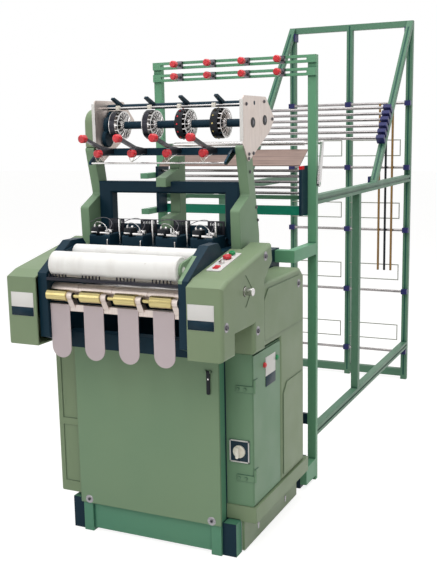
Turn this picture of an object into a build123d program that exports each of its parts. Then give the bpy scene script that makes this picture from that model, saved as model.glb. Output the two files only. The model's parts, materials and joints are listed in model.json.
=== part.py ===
from build123d import *
from math import acos, atan2, cos, degrees, hypot, radians, sin
import os

os.makedirs("parts", exist_ok=True)

# Narrow fabric needle loom with four heads and a warp creel behind it.
# Millimetres. x runs from the middle to the right, z up from the floor. The values for y
# count from the front of the plinth, and datum_y moves them so that the box is centred.

# Shared values
overrun = 5.0
running_gap = 0.3
journal_play = 0.05
heads = 4

# Side frames
frame_half = 304.0
frame_plate = 38.0
frame_front = 48.0
frame_back = 800.0
frame_waist = 790.0
frame_nose_root = -130.0
frame_nose_root_z = 815.0
frame_nose_front = -225.0
frame_nose_low = 850.0
frame_nose_top = 1085.0
shoulder_front = -60.0
shoulder_back = 20.0
shoulder_top = 1185.0
deck_front = 50.0
deck_back = 330.0
deck_top = 1150.0
deck_thick = 30.0
frame_step_z = 1095.0
frame_step_back = 620.0
frame_tail_z = 900.0
foot_length = 90.0
foot_arch = 90.0
window_size = 260.0
window_pitch = 320.0
window_radius = 30.0
lug_reach = 56.0
lug_front = 12.0
lug_length = 52.0
lug_height = 130.0
rear_lug_length = 80.0

# Front plinth and panels
plinth_post = 42.0
plinth_post_drop = 15.0
plinth_plate = 6.0
plinth_plate_y = 10.0
plinth_plate_low = 12.0
plinth_plate_top = 120.0
plinth_lip = 18.0
panel_lap = 4.0
panel_depth = 10.0
panel_sheet = 2.0
panel_low = 123.5
panel_top_drop = 8.0
rear_panel_low = 130.0
rear_panel_thick = 3.0
latch_inset = 35.0
latch_width = 14.0
latch_drop = 158.0
latch_height = 91.0
latch_thick = 4.0
latch_stand = 2.0
latch_pin = 2.0
latch_ear = 4.0
latch_ear_height = 9.0

# Head covers
cover_depth = 132.0
cover_wall = 6.0
cover_edge = 14.0
cover_front = -243.0
cover_lip_low = 819.0
cover_step_front = -136.0
cover_step_top = 895.0
cover_skirt_front = 30.0
cover_skirt_back = 135.0
cover_low = 785.0
cover_tail_z = 1040.0
cover_back = 215.0
cover_back_z = 1100.0
cover_top_back = 205.0
cover_top_back_z = 1168.0
cover_top_front = -190.0
cover_top_front_z = 1092.0
cover_brow_z = 1070.0
diamond_half = 62.0
diamond_depth = 2.0
stub_play = 3.0
arm_slot_play = 4.0

# Side and rear covers, skirt
side_cover_depth = 114.0
side_cover_edge = 12.0
side_cover_neck = 138.0
side_cover_shoulder = 1020.0
side_cover_crown = 560.0
side_cover_crown_z = 1024.0
side_cover_back = 603.0
side_cover_back_z = 990.0
left_cover_front = 12.0
left_cover_low = 150.0
recess_depth = 3.0
recess_inset = 14.0
recess_margin = 22.0
recess_split = 445.0
emboss_height = 4.0
emboss_margin = 22.0
emboss_chamfer = 40.0
emboss_low_top = 589.0
skirt_depth = 67.0
skirt_band_depth = 121.0
skirt_sheet = 4.0
skirt_low = 6.0
skirt_band_low = 128.0
skirt_top = 190.0
skirt_band_front = 54.0
skirt_front = 65.0
skirt_back = 640.0

# Electric box and door
box_depth = 108.0
box_front = 60.0
box_back = 330.0
box_top = 776.0
box_wall = 3.0
door_thick = 4.0
door_margin = 1.0
door_clear = 5.0
hinge_high = 656.0
hinge_low = 312.0
hinge_knuckle = 4.5
hinge_pin = 2.5
hinge_length = 24.0
hinge_leaf = 3.0
hinge_leaf_reach = 66.0
hinge_offset = 9.0
door_leaf_reach = 36.0
lamp_radius = 9.0
lamp_height = 7.0
lamp_inset_front = 105.0
lamp_inset_back = 38.0
lamp_z = 713.0
switch_reach = 54.0
switch_z = 403.0
switch_pad_width = 80.0
switch_pad_height = 87.0
switch_pad_thick = 3.0
switch_radius = 24.0
switch_skirt = 6.0
switch_depth = 26.0
switch_grip = 12.0
switch_stem = 5.0

# Control plate on the sloping top of the right head cover
control_reach = 41.0
control_width = 54.0
control_front = -120.0
control_back = 75.0
control_thick = 3.0
rocker_y = -86.0
rocker_radius = 14.0
rocker_width = 20.0
rocker_pin = 0.9
rocker_shares = [(-0.97, 0), (-0.9, 0.42), (0, 0.25), (0.9, 0.42), (0.97, 0), (0, -0.6)]
selector_y = -42.0
stop_y = 6.0
start_y = 48.0
knob_radius = 11.0
knob_height = 13.0
knob_grip = 7.0
stop_radius = 16.0
start_radius = 12.0
button_height = 9.0
button_stem = 6.0
button_travel = 4.0

# Cover bolts
bolt_radius = 9.0
bolt_head = 6.0
panel_screw_radius = 7.0
panel_screw_inset = 34.0
panel_screw_z = 139.0
bolt_high_y = 139.0
bolt_high_z = 1128.0
bolt_nose_y = -212.0
bolt_nose_z = 935.0
bolt_skirt_y = 60.0
bolt_skirt_z = 868.0
bolt_rear_y = 530.0
bolt_rear_z = 965.0

# Cross beams and drive
beam_front = -110.0
beam_depth = 50.0
beam_low = 790.0
beam_height = 60.0
motor_y = 300.0
motor_z = 330.0
motor_radius = 85.0
motor_left = -120.0
motor_right = 150.0
motor_foot_half = 70.0
motor_bell = 12.0
motor_fin = 6.0
motor_fins = 10
motor_fin_arc = 210.0
motor_top_angle = 90.0
motor_plate_thick = 15.0
motor_plate_z = 240.0
motor_plate_half = 100.0
motor_shaft = 12.0
pulley_inset = 36.0
pulley_width = 30.0
pulley_rim = 3.0
main_pulley = 60.0
motor_pulley_radius = 35.0
belt_width = 20.0
belt_thick = 5.0
main_shaft_y = -49.0
main_shaft_z = 1030.0
main_shaft_radius = 15.0
stub_length = 30.0
main_shaft_stub = 14.0

# Take-up rollers, chutes and comb
bracket_plate = 8.0
take_up_y = -180.0
take_up_z = 1115.0
take_up_radius = 46.0
guide_y = -40.0
guide_z = 1140.0
guide_radius = 30.0
roller_journal = 12.0
bracket_boss = 26.0
bracket_tail_y = -70.0
bracket_tail_z = 1040.0
draw_y = -176.0
draw_z = 1020.0
draw_radius = 25.0
draw_groove = 1.5
draw_journal = 10.0
nip_y = -221.0
nip_z = 1008.0
nip_radius = 21.0
nip_space = 57.0
nip_wall_gap = 0.2
nip_shift = 10.0
nip_spindle = 7.0
nip_bracket_width = 22.0
nip_bracket_boss = 15.0
chute_rail_y = -211.0
chute_rail_depth = 20.0
chute_rail_z = 950.0
chute_rail_height = 24.0
chute_side_gap = 1.0
chute_low = 775.0
chute_thick = 3.0
comb_y = -220.0
comb_z = 1066.0
comb_section = 11.0
comb_pin = 3.0
comb_pin_height = 12.0
comb_pins = 6
comb_end_gap = 7.0

# Weaving heads
head_wall_gap = 3.5
head_width = 90.0
head_front = 60.0
head_back = 170.0
head_height = 45.0
head_groove = 34.0
head_groove_depth = 6.0
needle_post = 5.0
needle_post_height = 12.0
needle_inset = 34.0
needle_y = 130.0
needle_eye = 10.0
needle_reach = 62.0
needle_blade = 5.0
needle_thick = 3.0
batten_y = 190.0
batten_z = 1172.0
batten_radius = 9.0
batten_boss = 13.0
batten_boss_inset = 14.0
batten_boss_width = 16.0
reed_width = 70.0
reed_top = 1245.0
reed_thick = 4.0
reed_border = 8.0
reed_slots = 8
harness_front = 205.0
harness_depth = 45.0
harness_bar_low = 1345.0
harness_bar_height = 45.0
harness_leg = 58.0
harness_edge = 6.0

# Upper arms, bearing plates and drive casing
arm_thick = 38.0
arm_low = 1060.0
arm_front = 136.0
arm_elbow_front = 126.0
arm_elbow_z = 1292.0
arm_neck_front = 220.0
arm_neck_z = 1339.0
arm_top = 1525.0
arm_top_front = 176.0
arm_top_back = 240.0
arm_hip_z = 1187.0
arm_back = 310.0
arm_corner = 12.0
yoke_half = 21.0
yoke_spine = 280.0
yoke_top = 1484.0
yoke_nose = 166.0
yoke_nose_low = 1372.0
yoke_nose_top = 1406.0
yoke_root_top = 1436.0
yoke_finger = 195.0
yoke_finger_low = 1211.0
yoke_finger_top = 1251.0
yoke_finger_root = 1265.0
yoke_heel = 1225.0
left_plate_inset = 21.0
bearing_plate = 4.0
plate_lip = 10.0
plate_lip_thick = 3.0
plate_front = 160.0
plate_top = 1702.0
plate_top_back = 378.0
plate_nose = 469.0
plate_nose_z = 1622.0
plate_belly = 415.0
plate_belly_z = 1571.0
plate_heel = 285.0
plate_heel_z = 1505.0
plate_toe = 204.0
plate_toe_z = 1462.0
plate_corner = 14.0
casing_front = 180.0
casing_back = 330.0
casing_top = 1670.0
casing_width = 60.0
casing_round = 55.0
belt_case_thick = 17.0
belt_case_front = 34.0
belt_case_rear = 26.0

# Feed shaft, wheels, levers and rods
feed_y = 250.0
feed_z = 1606.0
feed_radius = 15.0
feed_journal = 12.0
wheel_end_gap = 62.5
wheel_radius = 55.0
wheel_width = 36.0
wheel_hub = 25.0
wheel_fins = 18
wheel_fin = 4.0
lever_y = 265.0
lever_z = 1677.0
lever_tube_radius = 11.0
lever_journal = 8.0
lever_reach = 62.0
lever_width = 14.0
lever_tip = 7.0
lever_rise = 28.0
guide_rod_y = 222.0
guide_rod_z = 1673.0
guide_rod_radius = 3.0
rear_rod_y = 367.0
rear_rod_z = 1615.0
rear_rod_radius = 8.0

# Front bar, tension arms, red caps and stop bail
front_bar = 28.0
front_bar_y = 200.0
front_bar_z = 1504.0
front_bar_inset = 20.0
bar_journal = 9.0
tension_end_gap = 62.0
tension_width = 14.0
tension_thick = 12.0
tension_lower_y = 92.0
tension_lower_z = 1500.0
tension_upper_y = -8.0
tension_upper_z = 1557.0
cap_radius = 15.0
cap_length = 24.0
cap_crown = 4.0
bail_arm = 8.0
bail_eye = 15.0
bail_y = 130.0
bail_z = 1463.0
bail_rod = 3.5

# Warp stand
stand_spread = 86.0
stand_post = 38.0
stand_post_depth = 26.0
stand_post_y = 845.0
stand_top = 1889.0
slot_rail_height = 33.0
slot_rail_depth = 10.0
slot_rail_pitch = 53.0
slot_height = 9.0
slot_margin = 40.0
rail_cap_end_gap = 145.5
rail_cap_reach = 62.0
rail_clamp_width = 22.0
rail_clamp_depth = 16.0
rail_stem = 7.0
warp_beam_low = 1209.0
warp_beam_height = 40.0
thin_beam_low = 1278.0
thin_beam_height = 17.0
low_beam_low = 260.0
low_beam_height = 48.0
beam_depth_back = 20.0
upper_tie_front = 570.0
upper_tie_split = 610.0
upper_tie_low = 1040.0
upper_tie_height = 50.0
lower_tie_front = 720.0
lower_tie_low = 20.0
lower_tie_height = 80.0
side_bracket_front = 690.0
side_bracket_height = 24.0
side_bracket_high = 1385.0
side_bracket_low = 1225.0
end_plate_thick = 12.0
end_plate_front = 765.0
end_plate_low = 1215.0
end_plate_top = 1425.0
end_plate_seat = 1300.0
warp_bar_y = 800.0
warp_bar_radius = 6.0
warp_bar_high = 1405.0
warp_bar_pitch = 24.0
warp_bar_count = 5
warp_plate_front = 778.0
warp_plate_back = 884.0
warp_plate_back_z = 1490.0
warp_plate_thick = 4.0
swing_y = 900.0
swing_z = 1520.0
swing_radius = 11.0
swing_end_gap = 34.0
swing_shaft = 7.0
swing_pivot_y = 858.0
swing_pivot_z = 1348.0
swing_pin = 6.0
swing_link = 10.0
swing_link_gap = 4.0
swing_boss = 14.0

# Creel
creel_set_in = 1.0
creel_post = 36.0
creel_back = 2674.0
creel_top = 2210.0
creel_foot_low = 20.0
creel_foot_height = 46.0
creel_rail_low = 206.0
creel_rail_height = 40.0
creel_mid_low = 1257.0
creel_mid_height = 40.0
rail_groove = 10.0
rail_groove_depth = 4.0
upright_y = 1525.0
diagonal_front = 1867.0
diagonal_back = 2620.0
diagonal_back_z = 2165.0
diagonal_width = 30.0
gusset_half = 30.0
gusset_thick = 8.0
bar_radius = 8.0
clamp_width = 44.0
front_bars = 6
front_bar_offset = 47.0
first_bar_share = 0.23
last_bar_share = 0.42
rear_bars = 5
rear_bar_low = 185.0
rear_bar_pitch = 386.0
clamp_size = 30.0
clamp_block = 24.0
clamp_depth = 30.0
wire_radius = 3.0
wire_sides = 8
wire_top_drop = 220.0
wire_bottom_drop = 315.0
wire_inset = 26.0
drop_rod_radius = 7.0
drop_rod_x = 205.0
drop_rod_pitch = 40.0
drop_rod_low = 705.0

# The whole part is centred between the front of the head covers and the back of the creel.
datum_y = -(cover_front + creel_back) / 2

# Sizes that follow from the side frames, and the pitches of what stands in rows of one per head.
frame_inner = frame_half - frame_plate
last_place = (heads - 1) / 2
plinth_post_top = frame_waist - plinth_post_drop
panel_top = frame_waist - panel_top_drop
latch_low = frame_waist - latch_drop
lug_half = frame_half + lug_reach
panel_half = frame_half + panel_lap
latch_x = frame_half - latch_inset
panel_screw_x = frame_half - panel_screw_inset
cover_outer = frame_half + cover_depth
side_cover_outer = frame_half + side_cover_depth
skirt_outer = frame_half + skirt_depth
skirt_band_outer = frame_half + skirt_band_depth
box_outer = frame_half + box_depth
switch_x = frame_half + switch_reach
control_x = frame_half + control_reach
pulley_x = frame_inner - pulley_inset
main_shaft_end = cover_outer + stub_length
nip_room = frame_inner - nip_wall_gap + nip_shift - nip_bracket_width - running_gap
nip_pitch = (nip_room + nip_space / 2) / (heads / 2)
nip_length = nip_pitch - nip_space
chute_width = nip_length - 2 * chute_side_gap
comb_pin_pitch = (nip_length - 2 * comb_end_gap) / (comb_pins - 1)
head_pitch = (frame_inner - head_wall_gap - head_width / 2) / last_place
batten_boss_x = frame_inner - batten_boss_inset
left_plate_half = frame_half - left_plate_inset
wheel_pitch = (left_plate_half - wheel_end_gap) / last_place
front_bar_half = frame_half - front_bar_inset
tension_pitch = (front_bar_half - tension_end_gap) / last_place
stand_half = frame_half + stand_spread
rail_cap_pitch = (stand_half - rail_cap_end_gap) / last_place
swing_half = stand_half - stand_post - swing_end_gap
creel_half = stand_half - creel_set_in
bar_half = creel_half - clamp_width


def side_plane(x):
    """A plane for profiles in Y and Z that extrude towards the right."""
    return Plane(origin=(x, datum_y, 0), x_dir=(0, 1, 0), z_dir=(1, 0, 0))


def front_plane(y):
    """A plane for profiles in X and Z that extrude towards the front."""
    return Plane(origin=(0, datum_y + y, 0), x_dir=(1, 0, 0), z_dir=(0, -1, 0))


def floor_plane(z):
    """A plane for profiles in X and Y that extrude upwards."""
    return Plane(origin=(0, datum_y, z), x_dir=(1, 0, 0), z_dir=(0, 0, 1))


def plate(plane, outline, thick, mode=Mode.ADD, corner=0):
    """A flat plate with a straight-sided outline and, if asked, rounded corners."""
    with BuildSketch(plane) as profile:
        with BuildLine():
            Polyline(*outline, close=True)
        make_face()
        if corner:
            fillet(profile.vertices(), radius=corner)
    extrude(profile.sketch, amount=thick, mode=mode)


def bar(x, y, z, mode=Mode.ADD):
    """A square-edged bar between two bounds on each axis."""
    with BuildSketch(side_plane(x[0])) as section:
        with Locations(((y[0] + y[1]) / 2, (z[0] + z[1]) / 2)):
            Rectangle(y[1] - y[0], z[1] - z[0])
    extrude(section.sketch, amount=x[1] - x[0], mode=mode)


def rod(x, centre, radius, mode=Mode.ADD):
    """A round rod along X between two bounds."""
    with BuildSketch(side_plane(x[0])) as section:
        with Locations(centre):
            Circle(radius)
    extrude(section.sketch, amount=x[1] - x[0], mode=mode)


def stud(y, centre, radius, mode=Mode.ADD):
    """A round stud along Y, from its back bound to its front bound."""
    with BuildSketch(front_plane(y[0])) as section:
        with Locations(centre):
            Circle(radius)
    extrude(section.sketch, amount=y[0] - y[1], mode=mode)


def lobes(x, first, second, thick, mode=Mode.ADD):
    """A plate whose outline wraps two circles, each given as a centre and a radius."""
    (centre, radius), (far_centre, far_radius) = first, second
    reach = hypot(far_centre[0] - centre[0], far_centre[1] - centre[1])
    lean = atan2(far_centre[1] - centre[1], far_centre[0] - centre[0])
    turn = acos((radius - far_radius) / reach)
    corners = []
    for (y, z), size, order in ((centre, radius, (1, -1)), (far_centre, far_radius, (-1, 1))):
        for side in order:
            angle = lean + side * turn
            corners.append((y + size * cos(angle), z + size * sin(angle)))
    with BuildSketch(side_plane(x)) as profile:
        for place, size in (first, second):
            with Locations(place):
                Circle(size)
        with BuildLine():
            Polyline(*corners, close=True)
        make_face()
    extrude(profile.sketch, amount=thick, mode=mode)


def spaced(count, pitch):
    """Places of a row that is centred on the middle of the machine."""
    return [(index - (count - 1) / 2) * pitch for index in range(count)]


def keep(piece, name):
    """Label a finished piece and write it."""
    piece.part.label = name
    export_step(piece.part, f"parts/{name}.step")


# Side frames: two cast plates with feet, lightening windows and bearing holes.
frame_outline = [
    (frame_front, 0),
    (frame_front, frame_waist),
    (frame_nose_root, frame_nose_root_z),
    (frame_nose_front, frame_nose_low),
    (frame_nose_front, frame_nose_top),
    (shoulder_front, shoulder_top),
    (shoulder_back, shoulder_top),
    (deck_front, deck_top),
    (deck_back, deck_top),
    (deck_back, frame_step_z),
    (frame_step_back, frame_step_z),
    (frame_step_back, frame_tail_z),
    (frame_back, frame_tail_z),
    (frame_back, 0),
    (frame_back - foot_length, 0),
    (frame_back - foot_length - foot_arch / 2, foot_arch),
    (frame_front + foot_length + foot_arch / 2, foot_arch),
    (frame_front + foot_length, 0),
]
window_centre = ((frame_front + frame_back) / 2, (foot_arch + frame_waist) / 2)
with BuildPart() as side_frames:
    plate(side_plane(frame_inner), frame_outline, frame_plate)
    with BuildSketch(side_plane(frame_inner)):
        with Locations(window_centre):
            with GridLocations(window_pitch, window_pitch, 2, 2):
                RectangleRounded(window_size, window_size, window_radius)
    extrude(amount=frame_plate, mode=Mode.SUBTRACT)
    plate_x = (frame_inner, frame_half)
    rod(plate_x, (main_shaft_y, main_shaft_z), main_shaft_radius + journal_play, Mode.SUBTRACT)
    rod(plate_x, (draw_y, draw_z), draw_journal + journal_play, Mode.SUBTRACT)
    bar((frame_half, lug_half), (lug_front, lug_front + lug_length), (0, lug_height))
    bar((frame_half, lug_half), (frame_back - rear_lug_length, frame_back), (0, lug_height))
    mirror(about=Plane.YZ)
keep(side_frames, "side_frames")

# Front plinth: two posts and the kick plate with its lip.
post_inner = frame_half - plinth_post
with BuildPart() as front_plinth:
    for side in (-1, 1):
        left = min(side * post_inner, side * frame_half)
        bar((left, left + plinth_post), (0, frame_front), (0, plinth_post_top))
    plate_back = plinth_plate_y + plinth_plate
    bar((-post_inner, post_inner), (plinth_plate_y, plate_back), (plinth_plate_low, plinth_plate_top))
    lip_low = plinth_plate_top - plinth_plate
    bar((-post_inner, post_inner), (plinth_plate_y, plate_back + plinth_lip), (lip_low, plinth_plate_top))
keep(front_plinth, "front_plinth")

# Front panel: a folded sheet pan with two ears for the latch.
latch_y = -panel_depth - latch_stand - latch_thick / 2
latch_pivot_z = latch_low + latch_height - latch_ear_height / 2
ear_half = latch_width / 2 + running_gap
ear_front = latch_y - latch_ear_height / 2
with BuildPart() as front_panel:
    bar((-panel_half, panel_half), (-panel_depth, 0), (panel_low, panel_top))
    pan_x = panel_half - panel_sheet
    pan_z = (panel_low + panel_sheet, panel_top - panel_sheet)
    bar((-pan_x, pan_x), (panel_sheet - panel_depth, 0), pan_z, Mode.SUBTRACT)
    for side in (-1, 1):
        ear = latch_x + side * (ear_half + latch_ear / 2)
        ear_z = (latch_pivot_z - latch_ear_height / 2, latch_pivot_z + latch_ear_height / 2)
        bar((ear - latch_ear / 2, ear + latch_ear / 2), (ear_front, -panel_depth), ear_z)
    ear_reach = ear_half + latch_ear
    hole = latch_pin + journal_play
    rod((latch_x - ear_reach, latch_x + ear_reach), (latch_y, latch_pivot_z), hole, Mode.SUBTRACT)
keep(front_panel, "front_panel")

# Panel latch: a flat lever with trunnions at its top.
with BuildPart() as panel_latch:
    lever_x = (latch_x - latch_width / 2, latch_x + latch_width / 2)
    lever_depth = (latch_y - latch_thick / 2, latch_y + latch_thick / 2)
    bar(lever_x, lever_depth, (latch_low, latch_pivot_z + latch_thick / 2))
    fillet(panel_latch.edges().filter_by(Axis.Y).group_by(Axis.Z)[0], radius=latch_width / 3)
    rod((latch_x - ear_reach, latch_x + ear_reach), (latch_y, latch_pivot_z), latch_pin)
keep(panel_latch, "panel_latch")

# Rear panel: a plain sheet on the tails of the side frames.
with BuildPart() as rear_panel:
    sheet_y = (frame_back, frame_back + rear_panel_thick)
    bar((-frame_half, frame_half), sheet_y, (rear_panel_low, frame_tail_z))
    with BuildSketch(front_plane(frame_back + rear_panel_thick)):
        with Locations((0, (rear_panel_low + frame_tail_z) / 2)):
            with GridLocations(0, window_radius, 1, heads):
                SlotOverall(window_size, window_radius / 3)
    extrude(amount=rear_panel_thick, mode=Mode.SUBTRACT)
keep(rear_panel, "rear_panel")

# Head covers: cast shells, open towards the side frames, that carry the sloping tops.
cover_outline = [
    (cover_front, cover_lip_low),
    (cover_step_front, cover_lip_low),
    (cover_step_front, cover_step_top),
    (cover_skirt_front, cover_step_top),
    (cover_skirt_front, cover_low),
    (cover_skirt_back, cover_low),
    (cover_skirt_back, cover_tail_z),
    (cover_back, cover_back_z),
    (cover_top_back, cover_top_back_z),
    (cover_top_front, cover_top_front_z),
    (cover_front, cover_brow_z),
]
slope = degrees(atan2(cover_top_back_z - cover_top_front_z, cover_top_back - cover_top_front))
diamond = [
    (main_shaft_y - diamond_half, main_shaft_z),
    (main_shaft_y, main_shaft_z - diamond_half),
    (main_shaft_y + diamond_half, main_shaft_z),
    (main_shaft_y, main_shaft_z + diamond_half),
]


def slope_plane(y):
    """A plane on the sloping cover top, with its normal square to the slope."""
    rise = (y - cover_top_front) * (cover_top_back_z - cover_top_front_z)
    z = cover_top_front_z + rise / (cover_top_back - cover_top_front)
    return Plane(
        origin=(control_x, datum_y + y, z),
        x_dir=(1, 0, 0),
        z_dir=(0, -sin(radians(slope)), cos(radians(slope))),
    )


def cover_shell(outline, inner, outer, wall, edge):
    """A cast cover: a filleted block from an outline, hollowed from its open side."""
    plate(side_plane(inner), outline, outer - inner)
    skin = faces().sort_by(Axis.X)[-1]
    fillet(skin.edges(), radius=edge)
    with BuildSketch(side_plane(inner)) as hollow:
        with BuildLine():
            Polyline(*outline, close=True)
        make_face()
        offset(amount=-wall, kind=Kind.INTERSECTION, mode=Mode.REPLACE)
    extrude(hollow.sketch, amount=outer - inner - wall, mode=Mode.SUBTRACT)


arm_slot = (arm_elbow_front - arm_slot_play, cover_back + arm_slot_play)
arm_slot_outer = frame_half + arm_thick + bearing_plate + arm_slot_play
arm_slot_z = (arm_low - arm_slot_play, cover_top_back_z)
diamond_plane = side_plane(cover_outer - diamond_depth)
with BuildPart() as right_head_cover:
    cover_shell(cover_outline, frame_half, cover_outer, cover_wall, cover_edge)
    bar((frame_half, arm_slot_outer), arm_slot, arm_slot_z, Mode.SUBTRACT)
    plate(diamond_plane, diamond, diamond_depth, Mode.SUBTRACT, corner=cover_edge)
    stub_hole = main_shaft_radius + stub_play
    rod((frame_half, cover_outer), (main_shaft_y, main_shaft_z), stub_hole, Mode.SUBTRACT)
    with BuildSketch(slope_plane((control_front + control_back) / 2)) as wiring_slot:
        SlotOverall(
            control_back - control_front - control_width / 4,
            control_width * 3 / 4,
            rotation=90,
        )
    extrude(wiring_slot.sketch, amount=-cover_wall - overrun, mode=Mode.SUBTRACT)
keep(right_head_cover, "right_head_cover")

with BuildPart() as left_head_cover:
    cover_shell(cover_outline, frame_half, cover_outer, cover_wall, cover_edge)
    bar((frame_half, arm_slot_outer), arm_slot, arm_slot_z, Mode.SUBTRACT)
    plate(diamond_plane, diamond, diamond_depth, Mode.SUBTRACT, corner=cover_edge)
    mirror(about=Plane.YZ, mode=Mode.REPLACE)
keep(left_head_cover, "left_head_cover")

# Left side cover: the tall shell beside the frame, with two recesses in its front edge.
left_cover_outline = [
    (left_cover_front, left_cover_low),
    (left_cover_front, cover_low - door_clear),
    (side_cover_neck, cover_low - door_clear),
    (side_cover_neck, side_cover_shoulder),
    (side_cover_crown, side_cover_crown_z),
    (side_cover_back, side_cover_back_z),
    (side_cover_back, left_cover_low),
]
recess_x = (frame_half + recess_margin, side_cover_outer - side_cover_edge - recess_inset)
with BuildPart() as left_side_cover:
    cover_shell(left_cover_outline, frame_half, side_cover_outer, cover_wall, side_cover_edge)
    recess_y = (left_cover_front, left_cover_front + recess_depth)
    high_recess = (recess_split + recess_inset, cover_low - door_clear - recess_margin)
    low_recess = (left_cover_low + 2 * recess_margin, recess_split - recess_inset)
    bar(recess_x, recess_y, high_recess, Mode.SUBTRACT)
    bar(recess_x, recess_y, low_recess, Mode.SUBTRACT)
    mirror(about=Plane.YZ, mode=Mode.REPLACE)
keep(left_side_cover, "left_side_cover")

# Right rear cover: a shell over and behind the electric box, with two raised fields.
rear_cover_front = box_back + box_wall
rear_cover_outline = [
    (side_cover_neck, cover_low - box_wall),
    (side_cover_neck, side_cover_shoulder),
    (side_cover_crown, side_cover_crown_z),
    (side_cover_back, side_cover_back_z),
    (side_cover_back, skirt_top),
    (rear_cover_front, skirt_top),
    (rear_cover_front, cover_low - box_wall),
]
field_back = side_cover_back - emboss_margin
high_field = [
    (side_cover_neck + emboss_margin, cover_low + emboss_margin),
    (side_cover_neck + emboss_margin, side_cover_shoulder - emboss_margin - emboss_chamfer),
    (side_cover_neck + emboss_margin + emboss_chamfer, side_cover_shoulder - emboss_margin),
    (field_back - emboss_chamfer, side_cover_shoulder - emboss_margin),
    (field_back, side_cover_back_z - emboss_margin),
    (field_back, cover_low + emboss_margin),
]
low_field = [
    (rear_cover_front + emboss_margin, skirt_top + emboss_margin),
    (rear_cover_front + emboss_margin, emboss_low_top - emboss_chamfer),
    (rear_cover_front + emboss_margin + emboss_chamfer, emboss_low_top),
    (field_back, emboss_low_top),
    (field_back, skirt_top + emboss_margin),
]
with BuildPart() as right_rear_cover:
    cover_shell(rear_cover_outline, frame_half, side_cover_outer, cover_wall, side_cover_edge)
    plate(side_plane(side_cover_outer), high_field, emboss_height, corner=emboss_height)
    plate(side_plane(side_cover_outer), low_field, emboss_height, corner=emboss_height)
keep(right_rear_cover, "right_rear_cover")

# Right skirt: a folded shelf under the electric box, with a band and a set-back lower sheet.
band_inner = skirt_band_outer - skirt_sheet
skirt_profile = [
    (frame_half, skirt_top),
    (skirt_band_outer, skirt_top),
    (skirt_band_outer, skirt_band_low),
    (skirt_outer, skirt_band_low),
    (skirt_outer, skirt_low),
    (skirt_outer - skirt_sheet, skirt_low),
    (skirt_outer - skirt_sheet, skirt_band_low + skirt_sheet),
    (band_inner, skirt_band_low + skirt_sheet),
    (band_inner, skirt_top - skirt_sheet),
    (frame_half, skirt_top - skirt_sheet),
]
with BuildPart() as right_skirt:
    plate(front_plane(skirt_back), skirt_profile, skirt_back - skirt_band_front)
    band_front = (skirt_band_front, skirt_band_front + skirt_sheet)
    bar((lug_half, skirt_band_outer), band_front, (skirt_band_low, skirt_top))
    bar((frame_half, lug_half), band_front, (lug_height + skirt_sheet, skirt_top))
    sheet_reach = (skirt_outer - skirt_sheet, skirt_outer)
    bar(sheet_reach, (skirt_band_front, skirt_front), (skirt_low, skirt_band_low), Mode.SUBTRACT)
    bar((lug_half, skirt_outer), (skirt_front, skirt_front + skirt_sheet), (skirt_low, skirt_band_low))
keep(right_skirt, "right_skirt")

# Electric box: an open pan with its switch pad and the fixed hinge leaves with their pins.
hinge_x = box_outer + hinge_offset
hinge_y = box_front - hinge_leaf / 2
hinges = (hinge_low, hinge_high)


def hinge_post(low, high, radius, mode=Mode.ADD):
    """A round hinge piece on the door's axis."""
    with BuildSketch(floor_plane(low)) as section:
        with Locations((hinge_x, hinge_y)):
            Circle(radius)
    extrude(section.sketch, amount=high - low, mode=mode)


pad_y = (box_front - switch_pad_thick, box_front)
with BuildPart() as electric_box:
    bar((frame_half, box_outer), (box_front, box_back), (skirt_top, box_top))
    box_hollow_y = (box_front + box_wall, box_back - box_wall)
    box_hollow_z = (skirt_top + box_wall, box_top - box_wall)
    bar((frame_half + box_wall, box_outer), box_hollow_y, box_hollow_z, Mode.SUBTRACT)
    pad_x = (switch_x - switch_pad_width / 2, switch_x + switch_pad_width / 2)
    bar(pad_x, pad_y, (switch_z - switch_pad_height / 2, switch_z + switch_pad_height / 2))
    stem_hole = switch_stem + journal_play
    stud((box_front + box_wall, pad_y[0]), (switch_x, switch_z), stem_hole, Mode.SUBTRACT)
    for z in hinges:
        leaf_x = (box_outer - hinge_leaf_reach, hinge_x)
        bar(leaf_x, (box_front - hinge_leaf, box_front), (z - hinge_length, z))
        hinge_post(z - hinge_length, z, hinge_knuckle)
        hinge_post(z, z + hinge_length, hinge_pin)
keep(electric_box, "electric_box")

# Electric door: a flat sheet with the moving hinge leaves and two lamp bodies.
door_inner = box_outer + running_gap
door_face = door_inner + door_thick
with BuildPart() as electric_door:
    door_y = (box_front + door_margin, box_back - door_margin)
    bar((door_inner, door_face), door_y, (skirt_top + door_clear, box_top - door_clear))
    for z in hinges:
        leaf_z = (z + running_gap, z + hinge_length)
        bar((door_face, door_face + hinge_leaf), (hinge_y, box_front + door_leaf_reach), leaf_z)
        hinge_post(leaf_z[0], leaf_z[1], hinge_knuckle)
        hinge_post(leaf_z[0], leaf_z[1], hinge_pin + journal_play, Mode.SUBTRACT)
    for y in (box_front + lamp_inset_front, box_back - lamp_inset_back):
        rod((door_face, door_face + lamp_height), (y, lamp_z), lamp_radius)
keep(electric_door, "electric_door")

# Main switch knob: a skirt, a grip bar and the stem that turns in the box wall.
with BuildPart() as switch_knob:
    skirt_back_y = pad_y[0] - running_gap
    stud((skirt_back_y, skirt_back_y - switch_skirt), (switch_x, switch_z), switch_radius)
    with BuildSketch(front_plane(skirt_back_y - switch_skirt)):
        with Locations((switch_x, switch_z)):
            SlotOverall(2 * switch_radius - switch_grip / 2, switch_grip, rotation=90)
    extrude(amount=switch_depth - switch_skirt)
    stud((box_front + box_wall, skirt_back_y), (switch_x, switch_z), switch_stem)
keep(switch_knob, "switch_knob")

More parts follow.
